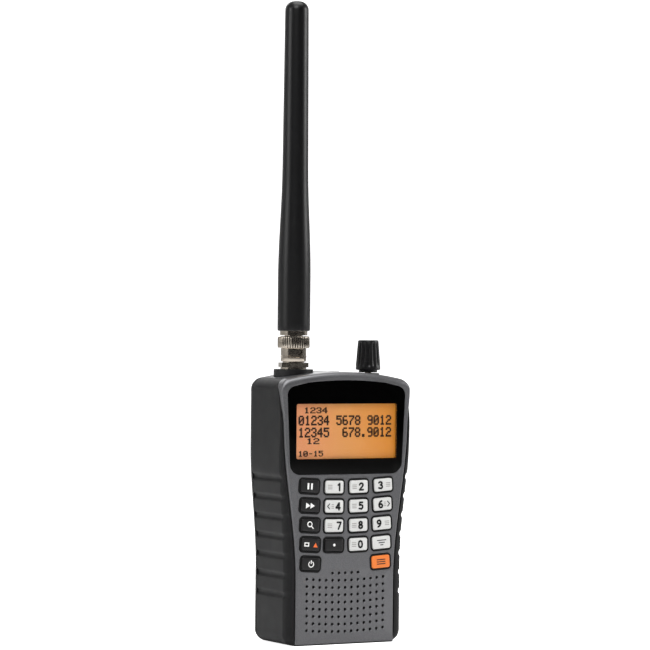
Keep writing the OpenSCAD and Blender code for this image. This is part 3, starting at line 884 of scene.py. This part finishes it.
def grip(sign):
    """Rubber grip of one side with its seven finger grooves."""
    bm = bmesh.new()
    rings = []
    for e in case_edge(grip_heights()):
        if e.rubber:
            section = grip_section(e)
            rings.append([(sign * (e.x - e.nx * inset), y, e.z - e.nz * inset) for inset, y in section])
    rows = link_rings(bm, rings)
    bm.faces.new(rows[0])
    bm.faces.new(rows[-1])
    return bm


# ---------------------------------------------------------------- operators


LIGHTS = (  # name, place in metres, size, power
    ("key_panel", (-0.55, -0.75, 0.95), 0.6, 9.5),
    ("top_panel", (0.05, -0.05, 1.15), 0.8, 11.0),
    ("left_panel", (-1.2, 0.1, 0.45), 0.5, 4.0),
    ("right_panel", (1.1, -0.45, 0.5), 0.5, 7.5),
    ("rear_panel", (0.3, 1.2, 0.7), 0.9, 5.0),
)


class SCANNER_OT_stage(bpy.types.Operator):
    """Camera, floor and studio lights"""

    bl_idname = "scanner.stage"
    bl_label = "Stage"

    def execute(self, context):
        camera = bpy.data.objects.new("camera", bpy.data.cameras.new("camera"))
        camera.data.lens, camera.data.sensor_width = 165.1, 36.0
        camera.data.clip_start, camera.data.clip_end = 0.05, 20.0
        camera.location = (-0.6644, -1.1810, 0.1434)
        turn = Euler((math.pi / 2, 0, -math.radians(29.27)))
        roll = Euler((0, 0, math.radians(0.57)))
        camera.rotation_euler = (turn.to_matrix() @ roll.to_matrix()).to_euler()
        context.scene.collection.objects.link(camera)
        context.scene.camera = camera
        self.floor()
        self.lights(context)
        return {"FINISHED"}

    def floor(self):
        """Pale floor that curves up into the backdrop on every side."""
        bm = bmesh.new()
        profile = [(0.001, 0.0), (1600, 0.0), (2000, 0.0)] + arc(2000, 500, 500, -75, 75, 5) + [(2500, 1800)]
        revolve(bm, [(r, z - 0.05) for r, z in profile], 96)
        floor = raw_object("floor", bm)
        floor.data.shade_smooth()
        floor.data.materials.append(self.backdrop())

    def backdrop(self):
        """Matt paper, lifted to white for the camera. The part that stands in front of the scanner
        is dark cloth, so that gloss and nickel have something dark to reflect."""
        mat, tree, shader, place = new_material("matt_paper_backdrop")
        fibre = grain(tree, place, 3, 3.0)
        paper = ramp(tree, fibre, (0.3, linear("#F3F3F3")), (0.7, linear("#F8F8F8")))
        axes = add_node(tree, "ShaderNodeSeparateXYZ", Vector=place).outputs
        in_front = calculate(tree, "LESS_THAN", axes["Y"], -0.45)
        upright = calculate(tree, "GREATER_THAN", axes["Z"], 0.01)
        cloth = mix(tree, calculate(tree, "MULTIPLY", in_front, upright), paper, linear("#303030"))
        seen = add_node(tree, "ShaderNodeLightPath").outputs["Is Camera Ray"]
        lift = calculate(tree, "MULTIPLY", seen, 0.85)
        white = (1, 1, 1, 1)
        fill(shader, Base_Color=cloth, Emission_Strength=lift, Emission_Color=white, Roughness=0.9)
        return mat

    def lights(self, context):
        """Large soft panels: in front, above, on each side and behind, with an even fill."""
        for name, place, size, power in LIGHTS:
            data = bpy.data.lights.new(name, "AREA")
            data.shape, data.size, data.energy = "SQUARE", size, power
            lamp = bpy.data.objects.new(name, data)
            lamp.location = place
            aim = Vector((0, 0, 0.08)) - Vector(place)
            lamp.rotation_euler = aim.to_track_quat("-Z", "Y").to_euler()
            context.scene.collection.objects.link(lamp)
        world = bpy.data.worlds.new("studio")
        world.use_nodes = True
        fill(world.node_tree.nodes["Background"], Color=linear("#FAFAFA"), Strength=0.45)
        context.scene.world = world
        context.scene.view_settings.view_transform = "Standard"


BOSS_PROFILE = (
    (3.05, 118.6), (5.2, 118.6), (5.2, 121.35), (5.1, 121.55), (4.9, 121.6), (3.05, 121.6), (3.05, 118.6),
)
SCREW_HEAD = 1.8           # radius of a case screw's head
LOW_SCREW = (23.4, 7.5)    # place of the lower case screws
TRAY_HALF, TRAY_LOW, TRAY_HIGH, TRAY_WALL = 15.6, 4.4, 64.0, 1.2


class SCANNER_OT_case(bpy.types.Operator):
    """Front and rear shells with the battery tray"""

    bl_idname = "scanner.case"
    bl_label = "Case shells"

    def execute(self, context):
        edge = case_edge(SIDE_HEIGHTS)
        black = moulded_black()
        front = raw_object("front_case", case_front(edge))
        cut(front, self.top_holes())
        dress(front, metallic_paint(), "case", ["front_shell"])
        rear = raw_object("rear_case", case_rear(edge))
        cut(rear, self.rear_holes())
        dress(rear, black, "case", ["rear_shell"])
        boss = bmesh.new()
        revolve(boss, BOSS_PROFILE, 48, (KNOB_X, AXIS_Y))
        dress(raw_object("knob_boss", boss), black, "case")
        dress(self.tray(), black, "case")
        return {"FINISHED"}

    def top_holes(self):
        """Tools for the openings of the earphone jack and the antenna's socket."""
        holes = bmesh.new()
        jack = middle("phone_jack")
        for x, y, radius in ((jack.x, jack.y, 2.75), (AXIS_X, AXIS_Y, 4.65)):
            rod(holes, (x, y, 112), (x, y, 126), radius, 40)
        return holes

    def rear_holes(self):
        """The same, with the battery bay and the screw recesses."""
        holes = self.top_holes()
        door = span("battery_door")[1]
        side = door.x - 0.85
        bar(holes, (-side, BACK_Y - 3.5, -3), (side, BACK_Y + 3, door.z + 0.15))
        corner = span("case_screws")[1]
        high_screw = (corner.x - SCREW_HEAD, corner.z - SCREW_HEAD)
        for x, z in (high_screw, LOW_SCREW):
            for screw_x in (-x, x):
                rod(holes, (screw_x, BACK_Y - 2.3, z), (screw_x, BACK_Y + 2, z), 2.1, 32)
        return holes

    def tray(self):
        """Open box that holds the two cells, with a slot for the cell type switch."""
        outer, bottom, top = TRAY_HALF + TRAY_WALL, TRAY_LOW - TRAY_WALL, TRAY_HIGH + TRAY_WALL
        bm = bmesh.new()
        bar(bm, (-outer, -TRAY_WALL, bottom), (outer, BACK_Y - 1.81, top))
        tray = raw_object("battery_tray", bm)
        cut_bar(tray, (-TRAY_HALF, 0, TRAY_LOW), (TRAY_HALF, BACK_Y + 2, TRAY_HIGH))
        cut_bar(tray, (-4.2, 9.8, TRAY_HIGH - 1), (4.2, 12.2, TRAY_HIGH + 3))
        return tray


class SCANNER_OT_grips(bpy.types.Operator):
    """Rubber grips with finger grooves, and the cover of the side socket"""

    bl_idname = "scanner.grips"
    bl_label = "Grips"

    def execute(self, context):
        rubber = grip_rubber()
        for name, sign in (("grip_left", -1), ("grip_right", 1)):
            piece = raw_object("rubber_" + name, grip(sign))
            if sign > 0:
                low, high = span("usb_cover")
                near = (BODY_HALF - 1.6, low.y - 0.3, low.z - 0.3)
                cut_bar(piece, near, (BODY_HALF + 3, high.y + 1.1, high.z + 0.3))
            dress(piece, rubber, "case", [name], 28)
        finish_node("usb_cover", rubber, 0.25)
        return {"FINISHED"}


DOTS = {  # rows of five dots, from the top
    "0": "01110 10001 10011 10101 11001 10001 01110",
    "1": "00100 01100 00100 00100 00100 00100 01110",
    "2": "01110 10001 00001 00110 01000 10000 11111",
    "3": "01110 10001 00001 00110 00001 10001 01110",
    "4": "00010 00110 01010 10010 11111 00010 00010",
    "5": "11111 10000 11110 00001 00001 10001 01110",
    "6": "01110 10000 10000 11110 10001 10001 01110",
    "7": "11111 00001 00010 00100 01000 01000 01000",
    "8": "01110 10001 10001 01110 10001 10001 01110",
    "9": "01110 10001 10001 01111 00001 00001 01110",
    "-": "00000 00000 00000 01110 00000 00000 00000",
    ".": "00000 00000 00000 00000 00000 01100 01100",
    " ": "",
}
DISPLAY_ROWS = (  # characters, left, middle height, dot width and height
    ("1234", -21.2, 105.2, 0.50, 0.37),
    ("01234 5678 9012", -24.0, 100.7, 0.52, 0.61),
    ("12345  678.9012", -24.0, 95.3, 0.52, 0.61),
    ("12", -19.8, 91.4, 0.56, 0.37),
    ("10-15", -24.0, 85.8, 0.42, 0.36),
)


class SCANNER_OT_display(bpy.types.Operator):
    """Gloss lens, lit display and its characters"""

    bl_idname = "scanner.display"
    bl_label = "Display"

    def execute(self, context):
        low, high = span("display_lens")
        front, back = low.y, high.y
        outer, face, window = lens_loop(), lens_loop(-0.3), window_loop()
        border = bmesh.new()
        edge = [raised(face, front), raised(lens_loop(-0.08), front + 0.08), raised(outer, front + 0.3)]
        link_rings(border, edge + [raised(outer, back)])
        link_rings(border, [raised(window, front), raised(window, back)])
        plate(border, front, face, [window])
        plate(border, back, outer, [window])
        dress(raw_object("lens_border", border), gloss_black(), "case", ["display_lens"])
        pane, clear = bmesh.new(), window_loop(-0.01)
        link_rings(pane, [raised(clear, front), raised(clear, back)])
        plate(pane, front, clear)
        plate(pane, back, clear)
        dress(raw_object("lens_window", pane), clear_acrylic(), "case")
        finish_node("lcd_panel", lit_display())
        characters = raw_object("display_characters", self.characters())
        ink = plain("dark_liquid_crystal", colours().ink, 0.5)
        dress(characters, ink, "case")
        return {"FINISHED"}

    def characters(self):
        """Rows of dot-matrix digits on the front of the glass."""
        bm = bmesh.new()
        for text, left, z, dot_x, dot_z in DISPLAY_ROWS:
            wide, tall = dot_x * 1.65, dot_z * 1.3  # neighbouring dots run together
            for i, character in enumerate(text):
                for r, line in enumerate(DOTS[character].split()):
                    for c, mark in enumerate(line):
                        if mark == "1":
                            x, top = left + (i * 6.2 + c) * dot_x, z + (3.5 - r) * dot_z
                            prism(bm, box(x, x + wide, top - tall, top), GLASS_Y - 0.05, GLASS_Y - 0.005)
        return bm


SYMBOLS = {
    "pause": [box(-1.3, -0.5, -1.4, 1.4), box(0.5, 1.3, -1.4, 1.4)],
    "forward": [[(x, -1.3), (x + 2.1, 0), (x, 1.3)] for x in (-2.2, 0.1)],
    "lens": ring_shapes(-0.4, 0.4, 1.3, 0.4, 0, 360)
    + [[(0.35, -0.6), (0.65, -0.3), (1.75, -1.4), (1.45, -1.7)]],
    "block": [box(-3.3, -0.9, z, z + 0.45) for z in (-0.9, 0.45)]
    + [box(x, x + 0.45, -0.45, 0.45) for x in (-3.3, -1.35)],
    "point": [circle_loop(0, 0, 0.6, 16)],
    "bars": [box(-x, x, z - 0.2, z + 0.2) for x, z in ((2.4, 1.05), (1.6, 0), (0.8, -1.05))],
    "power": ring_shapes(0, -0.1, 1.45, 0.4, 120, 300) + [box(-0.2, 0.2, 0.1, 1.7)],
    "menu": [box(-2.2, 2.2, *z) for z in ((0.75, 1.2), (-0.22, 0.22), (-1.2, -0.75))],
}
DIGITS = {  # corners of each digit's pen line
    "0": (
        (0, 1.5), (0.7, 1.1), (0.95, 0), (0.7, -1.1), (0, -1.5),
        (-0.7, -1.1), (-0.95, 0), (-0.7, 1.1), (0, 1.5),
    ),
    "1": ((-0.6, 0.9), (0.15, 1.5), (0.15, -1.5)),
    "2": (
        (-0.9, 0.8), (-0.6, 1.3), (0, 1.5), (0.65, 1.3),
        (0.85, 0.7), (0.5, 0), (-0.95, -1.5), (0.95, -1.5),
    ),
    "3": (
        (-0.85, 1.15), (-0.1, 1.5), (0.7, 1.2), (0.75, 0.5), (0, 0.1),
        (0.8, -0.3), (0.9, -1), (0.3, -1.5), (-0.9, -1.2),
    ),
    "4": ((0.5, -1.5), (0.5, 1.5), (-0.95, -0.65), (1.05, -0.65)),
    "5": (
        (0.8, 1.5), (-0.65, 1.5), (-0.75, 0.25), (0.1, 0.45),
        (0.85, 0), (0.85, -0.8), (0.3, -1.45), (-0.9, -1.2),
    ),
    "6": (
        (0.6, 1.45), (-0.3, 1), (-0.85, 0), (-0.85, -0.8), (-0.3, -1.5),
        (0.5, -1.4), (0.9, -0.7), (0.5, 0.05), (-0.3, 0.1), (-0.8, -0.4),
    ),
    "7": ((-0.9, 1.5), (0.95, 1.5), (-0.25, -1.5)),
    "8": (
        (0, 0.15), (0.7, 0.5), (0.65, 1.25), (0, 1.5), (-0.65, 1.25), (-0.7, 0.5), (0, 0.15),
        (0.85, -0.4), (0.75, -1.2), (0, -1.5), (-0.75, -1.2), (-0.85, -0.4), (0, 0.15),
    ),
    "9": (
        (-0.6, -1.45), (0.3, -1), (0.85, 0), (0.85, 0.8), (0.3, 1.5),
        (-0.5, 1.4), (-0.9, 0.7), (-0.5, -0.05), (0.3, -0.1), (0.8, 0.4),
    ),
}
# Digits stand right of their small mark, except in the last column
DIGIT_PLACE = {
    "0": 0.9, "1": 2.3, "2": 1.1, "3": -1.6, "4": 1.7, "5": 1.0, "6": -1.2, "7": 2.3, "8": 0.9, "9": -1.7,
}
RIM = ((0.69, 0.5), (0.69, -0.04), (0.58, -0.16), (0.03, -0.16), (-0.08, -0.04), (-0.08, 0.5), (0.69, 0.5))


class SCANNER_OT_keys(bpy.types.Operator):
    """Eighteen key caps with their marks, and the black rims round them"""

    bl_idname = "scanner.keys"
    bl_label = "Keys"

    def execute(self, context):
        caps = {
            "light": key_plastic("lacquered_light_key_cap", colours().key_light),
            "dark": key_plastic("lacquered_dark_key_cap", colours().key_dark),
            "orange": key_plastic("lacquered_orange_key_cap", colours().key_orange),
        }
        black = plain("screen_printed_black_ink", "#141414", 0.5)
        white = plain("screen_printed_white_ink", "#E4E4E2", 0.5)
        faint = plain("screen_printed_grey_ink", "#8A8886", 0.5)
        accent = plain("screen_printed_orange_ink", "#E0672A", 0.5)
        slots = {part["node"]: part["material_slot"] for part in frame["record"]["subparts"]}
        for node, (finish, symbol) in KEYS.items():
            prints = [("mark_", white if finish == "dark" else black, self.mark(symbol))]
            if symbol.isdigit():
                prints.append(("note_", faint, self.note(symbol)))
            if symbol == "block":
                prints.append(("accent_", accent, [[(1.3, -1.1), (3.5, -1.1), (2.4, 0.9)]]))
            body, slot = node + "_body", slots[node]
            dress(raw_object("cap_" + node, self.cap(node)), caps[finish], body, [node], 40)
            for prefix, ink, shapes in prints:
                dress(raw_object(prefix + node, self.printed(node, shapes)), ink, body)
        rim = plain("moulded_black_key_rim", "#060606", 0.6, specular=0.2)
        finish_node("keypad_rims", rim)
        dress(raw_object("key_rims", self.rims()), rim, "case")
        return {"FINISHED"}

    def rims(self):
        """A soft black bead round every cap."""
        bm = bmesh.new()
        for node in KEYS:
            link_rings(bm, [raised(key_loop(node, grow), FRONT_Y + depth) for grow, depth in RIM])
        return bm

    def cap(self, node):
        """Cap with a rounded front edge, a faintly crowned face and its hidden flange."""
        low, high = span(node)
        front, back, edge, flange = low.y, high.y, 0.45, 0.58
        section = [(CAP_INSET - 1.0, front), (CAP_INSET - 0.7, front + 0.03)]
        for i in range(5):
            a = math.radians(22.5 * i)
            section.append((CAP_INSET - edge * (1 - math.sin(a)), front + 0.06 + edge * (1 - math.cos(a))))
        section += [(CAP_INSET, back - 0.6), (flange, back - 0.6), (flange, back)]
        rings = [raised(key_loop(node, grow), depth) for grow, depth in section]
        bm = bmesh.new()
        link_rings(bm, rings)
        plate(bm, front, flat(rings[0]))
        plate(bm, back, flat(rings[-1]))
        return bm

    def printed(self, node, shapes):
        """Thin raised prisms of (x, z) shapes, turned with their key."""
        bm = bmesh.new()
        front = span(node)[0].y
        for shape in shapes:
            prism(bm, on_key(node, shape), front - 0.03, front + 0.12)
        return bm

    def note(self, digit):
        """Grey mark beside a digit: three short bars."""
        side = 1 if DIGIT_PLACE[digit] < 0 else -1
        x, half = (side * 1.0, 0.6) if digit in "46" else (side * 2.4, 1.15)
        return [box(x - half, x + half, z, z + 0.36) for z in (0.62, -0.18, -0.98)]

    def mark(self, symbol):
        """The printed mark of a key: a symbol, or a digit drawn with a round pen."""
        if symbol in SYMBOLS:
            return SYMBOLS[symbol]
        shapes = pen([(x + DIGIT_PLACE[symbol], z) for x, z in DIGITS[symbol]], 0.42)
        if symbol in "46":
            side, x = (-1, -3.2) if symbol == "4" else (1, 3.0)
            shapes += pen([(x - side * 0.55, 1.1), (x + side * 0.45, 0), (x - side * 0.55, -1.1)], 0.25)
        return shapes


LUG_Z = 131.2        # height of the jack's two bayonet lugs
LUG_PLAY = 1.2       # half of the space that a lug needs in the nut
LUG_CHANNEL = 5.45   # radius of the channel they run in
BORE, BARREL, NUT_GRIP = 4.95, 5.8, 7.3  # radii of the coupling nut
BEAD = BARREL + 0.18
NUT_PROFILE = (
    (BORE, 126.7), (BARREL - 0.3, 126.7), (BARREL - 0.08, 126.8), (BARREL, 127.1), (BARREL, 128.6),
    (BEAD, 128.8), (BEAD, 129.2), (BARREL, 129.4), (BARREL, 132.6), (BARREL + 0.6, 132.8),
    (NUT_GRIP - 0.5, 132.85), (NUT_GRIP - 0.15, 133.0), (NUT_GRIP, 133.4), (NUT_GRIP, 135.0),
    (NUT_GRIP, 137.2), (NUT_GRIP - 0.15, 137.9), (NUT_GRIP - 0.5, 138.25), (4.35, 138.3), (4.35, 136.6),
    (BORE, 136.6), (BORE, LUG_Z + LUG_PLAY), (LUG_CHANNEL, LUG_Z + LUG_PLAY),
    (LUG_CHANNEL, LUG_Z - LUG_PLAY), (BORE, LUG_Z - LUG_PLAY), (BORE, 126.7),
)
NUT_TEETH = 40


class SCANNER_OT_antenna(bpy.types.Operator):
    """Whip's rubber sleeve, its metal plug and the bayonet connector"""

    bl_idname = "scanner.antenna"
    bl_label = "Antenna"

    def execute(self, context):
        nickel = nickel_plate()
        centre = (AXIS_X, AXIS_Y)
        rubber = plain("smooth_moulded_rubber", "#080809", 0.34, 0.0, 0.5, 0.008, 0.12, 0.25)
        sleeve = bmesh.new()
        revolve(sleeve, self.sleeve_profile(), 72, centre)
        sleeve = raw_object("whip_sleeve", sleeve)
        dress(sleeve, rubber, "antenna", ["antenna_sleeve"])
        nut = bmesh.new()
        revolve(nut, NUT_PROFILE, NUT_TEETH * 6, centre, self.knurl)
        nut = raw_object("bayonet_nut", nut)
        holes = bmesh.new()
        rod(holes, (AXIS_X, AXIS_Y - 9, LUG_Z), (AXIS_X, AXIS_Y + 9, LUG_Z), 1.25, 32)
        cut(nut, holes)
        near = (AXIS_X - LUG_CHANNEL, AXIS_Y - LUG_PLAY, 126)
        cut_bar(nut, near, (AXIS_X + LUG_CHANNEL, AXIS_Y + LUG_PLAY, LUG_Z))
        dress(nut, nickel, "coupling", ["coupling_nut"], 28)
        bevels = {"bnc_jack": 0.15, "bnc_ring_nut": 0.25, "antenna_plug": 0.3, "pot_shaft": 0.0}
        for node, bevel in bevels.items():
            finish_node(node, nickel, bevel)
        finish_node("bnc_insulator", plain("turned_ptfe", "#E6E6E4", 0.4), 0.1)
        finish_node("bnc_washer", plain("moulded_nylon_washer", "#0B0B0C", 0.5, specular=0.25), 0.3)
        return {"FINISHED"}

    def sleeve_profile(self):
        """Radius and height along the sleeve: wide at its foot, then slim to a domed tip."""
        low, high = span("antenna_sleeve")
        base, tip = low.z, high.z
        radius = lambda z: 5.36 + 0.55 * min(1, (289 - z) / 77) + 1.5 * (1 - smooth(165, 215, z))
        foot = radius(base)
        points = [(0.01, base), (foot - 0.7, base), (foot - 0.2, base + 0.2), (foot, base + 0.7)]
        points += [(radius(z), z) for z in range(int(base) + 3, int(tip) - 3, 3)]
        return points + arc(1.36, tip - 4, 4, 0, 90, 10) + [(0.01, tip)]

    @staticmethod
    def knurl(radius, z, angle):
        """Straight teeth on the nut's ring."""
        if radius > NUT_GRIP - 0.2 and 133.2 < z < 137.5:
            return radius - 0.22 * (0.5 - 0.5 * math.cos(NUT_TEETH * angle))
        return radius


FLUTES = 14
KNOB_FOOT, KNOB_WIDE = 124.2, 5.7  # height and radius at which the knob starts to taper


class SCANNER_OT_knob(bpy.types.Operator):
    """Fluted volume knob"""

    bl_idname = "scanner.knob"
    bl_label = "Volume knob"

    def execute(self, context):
        low, high = span("volume_knob")
        top = high.z
        shoulder = top - 0.6
        side = lambda z: KNOB_WIDE - 0.95 * (z - KNOB_FOOT) / (shoulder - KNOB_FOOT)
        profile = [(0.01, low.z), (4.25, low.z), (4.25, 122.9), (5.4, 123.05), (5.68, 123.3)]
        profile.append((KNOB_WIDE, KNOB_FOOT))
        profile += [(side(z), z) for z in (124.8, 125.4, 127, 129, 131, 133, 134.6, top - 1.3)]
        for degrees in (0, 22, 45, 68, 90):
            a = math.radians(degrees)
            profile.append((side(shoulder) - 0.6 * (1 - math.cos(a)), shoulder + 0.6 * math.sin(a)))
        profile += [(3.6, top - 0.02), (3.3, top - 0.25), (0.01, top - 0.25)]

        def flute(radius, z, angle):
            fade = smooth(124.3, 125.6, z) * (1 - smooth(top - 1.6, top - 0.7, z))
            return radius - 0.5 * fade * (0.5 - 0.5 * math.cos(FLUTES * angle)) ** 2

        bm = bmesh.new()
        revolve(bm, profile, FLUTES * 8, (KNOB_X, AXIS_Y), flute)
        near = (KNOB_X - 0.3, AXIS_Y - 3.1, top - 0.3)
        bar(bm, near, (KNOB_X + 0.3, AXIS_Y - 1.2, top - 0.1), 0.08)
        black = plain("moulded_black_knob", "#0D0D0E", 0.3, 0.0, 0.4, 0.01, 0.12, 0.35)
        dress(raw_object("fluted_knob", bm), black, "volume_control", ["volume_knob"])
        return {"FINISHED"}


class SCANNER_OT_back(bpy.types.Operator):
    """Battery door, belt clip, screws, switch and cells"""

    bl_idname = "scanner.back"
    bl_label = "Back and batteries"

    def execute(self, context):
        black = bpy.data.materials["spark_textured_abs"]
        steel = plain("zinc_plated_steel", "#A9ABAD", 0.32, 1.0, 0.3, 0.004, 0.12)
        dress(self.door(), black, "door", ["battery_door"], 32, 0.2)
        finish_node("belt_clip", black, 0.5)
        finish_node("clip_base", black, 0.35)
        for node in ("case_screws", "clip_screws", "clip_pin", "clip_spring", "cell_contacts"):
            finish_node(node, steel, 0.1)
        finish_node("phone_jack", plain("moulded_black_jack", "#161617", 0.35), 0.15)
        finish_node("battery_switch", plain("moulded_white_slider", "#E2E2DF", 0.45), 0.2)
        finish_node("cells", cell_film(), 0.3)
        return {"FINISHED"}

    def door(self):
        """Sliding door cut from the rear of the case, with its rails and ribs for the thumb."""
        top, widest = span("battery_door")[1].z, span("battery_door")[1].x
        half, rail = widest - 1.0, widest - 0.05
        blank = raw_object("sliding_door", rear_block(case_edge(SIDE_HEIGHTS)))
        cut_bar(blank, (-half, BACK_Y - 1.7, -3), (half, BACK_Y + 3, top), "INTERSECT")
        door = bmesh.new()
        door.from_mesh(blank.data)
        door.transform(Matrix.Scale(1 / MM, 4))
        bpy.data.objects.remove(blank)
        bar(door, (-rail, BACK_Y - 1.68, 6), (rail, BACK_Y - 1.0, top - 1), 0.1)
        for i in range(6):
            z = 46 + 1.9 * i
            width = 7.5 - 0.5 * abs(i - 2.5)
            bar(door, (-width, BACK_Y - 0.3, z), (width, BACK_Y + 0.45, z + 0.8), 0.2)
        return raw_object("battery_cover", door)


class SCANNER_OT_inside(bpy.types.Operator):
    """Finishes of the boards, loudspeaker and other inner parts"""

    bl_idname = "scanner.inside"
    bl_label = "Inner parts"

    def execute(self, context):
        board = circuit_board()
        tin = plain("bright_tin_plate", "#C4C5C3", 0.28, 1.0, 0.6, 0.004, 0.1)
        finishes = {
            "light_guide": plain("milky_acrylic", "#ECEAE0", 0.4),
            "lcd_frame": plain("moulded_white_abs", "#E4E4E1", 0.45),
            "keypad_mat": plain("grey_silicone_rubber", "#A9A9A6", 0.6),
            "main_board": board,
            "radio_board": board,
            "board_chips": plain("moulded_epoxy", "#1A1A1B", 0.5),
            "shield_can": tin,
            "usb_socket": tin,
            "speaker_basket": plain("pressed_steel", "#8E9092", 0.35, 1.0, 0.5, 0.006),
            "speaker_magnet": plain("sintered_ferrite", "#4A4A4C", 0.5, 0.4),
            "speaker_cone": plain("pressed_paper_pulp", "#1B1917", 0.85, 0.0, 0.4, 0.03, 0.2),
            "speaker_felt": plain("woven_dust_cloth", "#0C0C0D", 0.95, 0.0, 0.35, 0.04, 0.3),
            "volume_pot": plain("blue_moulded_pot", "#2C4C78", 0.45),
        }
        for node, material in finishes.items():
            finish_node(node, material)
        return {"FINISHED"}


BUILD = ("stage", "case", "grips", "display", "keys", "antenna", "knob", "back", "inside")


class SCANNER_PT_panel(bpy.types.Panel):
    """Sizes, colours and pieces of the scanner"""

    bl_label = "Scanner"
    bl_idname = "SCANNER_PT_panel"
    bl_space_type = "VIEW_3D"
    bl_region_type = "UI"
    bl_category = "Scanner"

    def draw(self, context):
        for name in BUILD:
            self.layout.operator("scanner." + name)
        for group in (context.scene.scanner_sizes, context.scene.scanner_colours):
            rows = self.layout.box()
            for key in group.__annotations__:
                rows.prop(group, key)


CLASSES = (
    ScannerSizes, ScannerColours,
    SCANNER_OT_stage, SCANNER_OT_case, SCANNER_OT_grips, SCANNER_OT_display, SCANNER_OT_keys,
    SCANNER_OT_antenna, SCANNER_OT_knob, SCANNER_OT_back, SCANNER_OT_inside, SCANNER_PT_panel,
)


def register():
    for cls in CLASSES:
        bpy.utils.register_class(cls)
    bpy.types.Scene.scanner_sizes = bpy.props.PointerProperty(type=ScannerSizes)
    bpy.types.Scene.scanner_colours = bpy.props.PointerProperty(type=ScannerColours)


def unregister():
    del bpy.types.Scene.scanner_colours
    del bpy.types.Scene.scanner_sizes
    for cls in reversed(CLASSES):
        bpy.utils.unregister_class(cls)


def main():
    register()
    for name in BUILD:
        getattr(bpy.ops.scanner, name)()


if __name__ == "__main__":
    main()
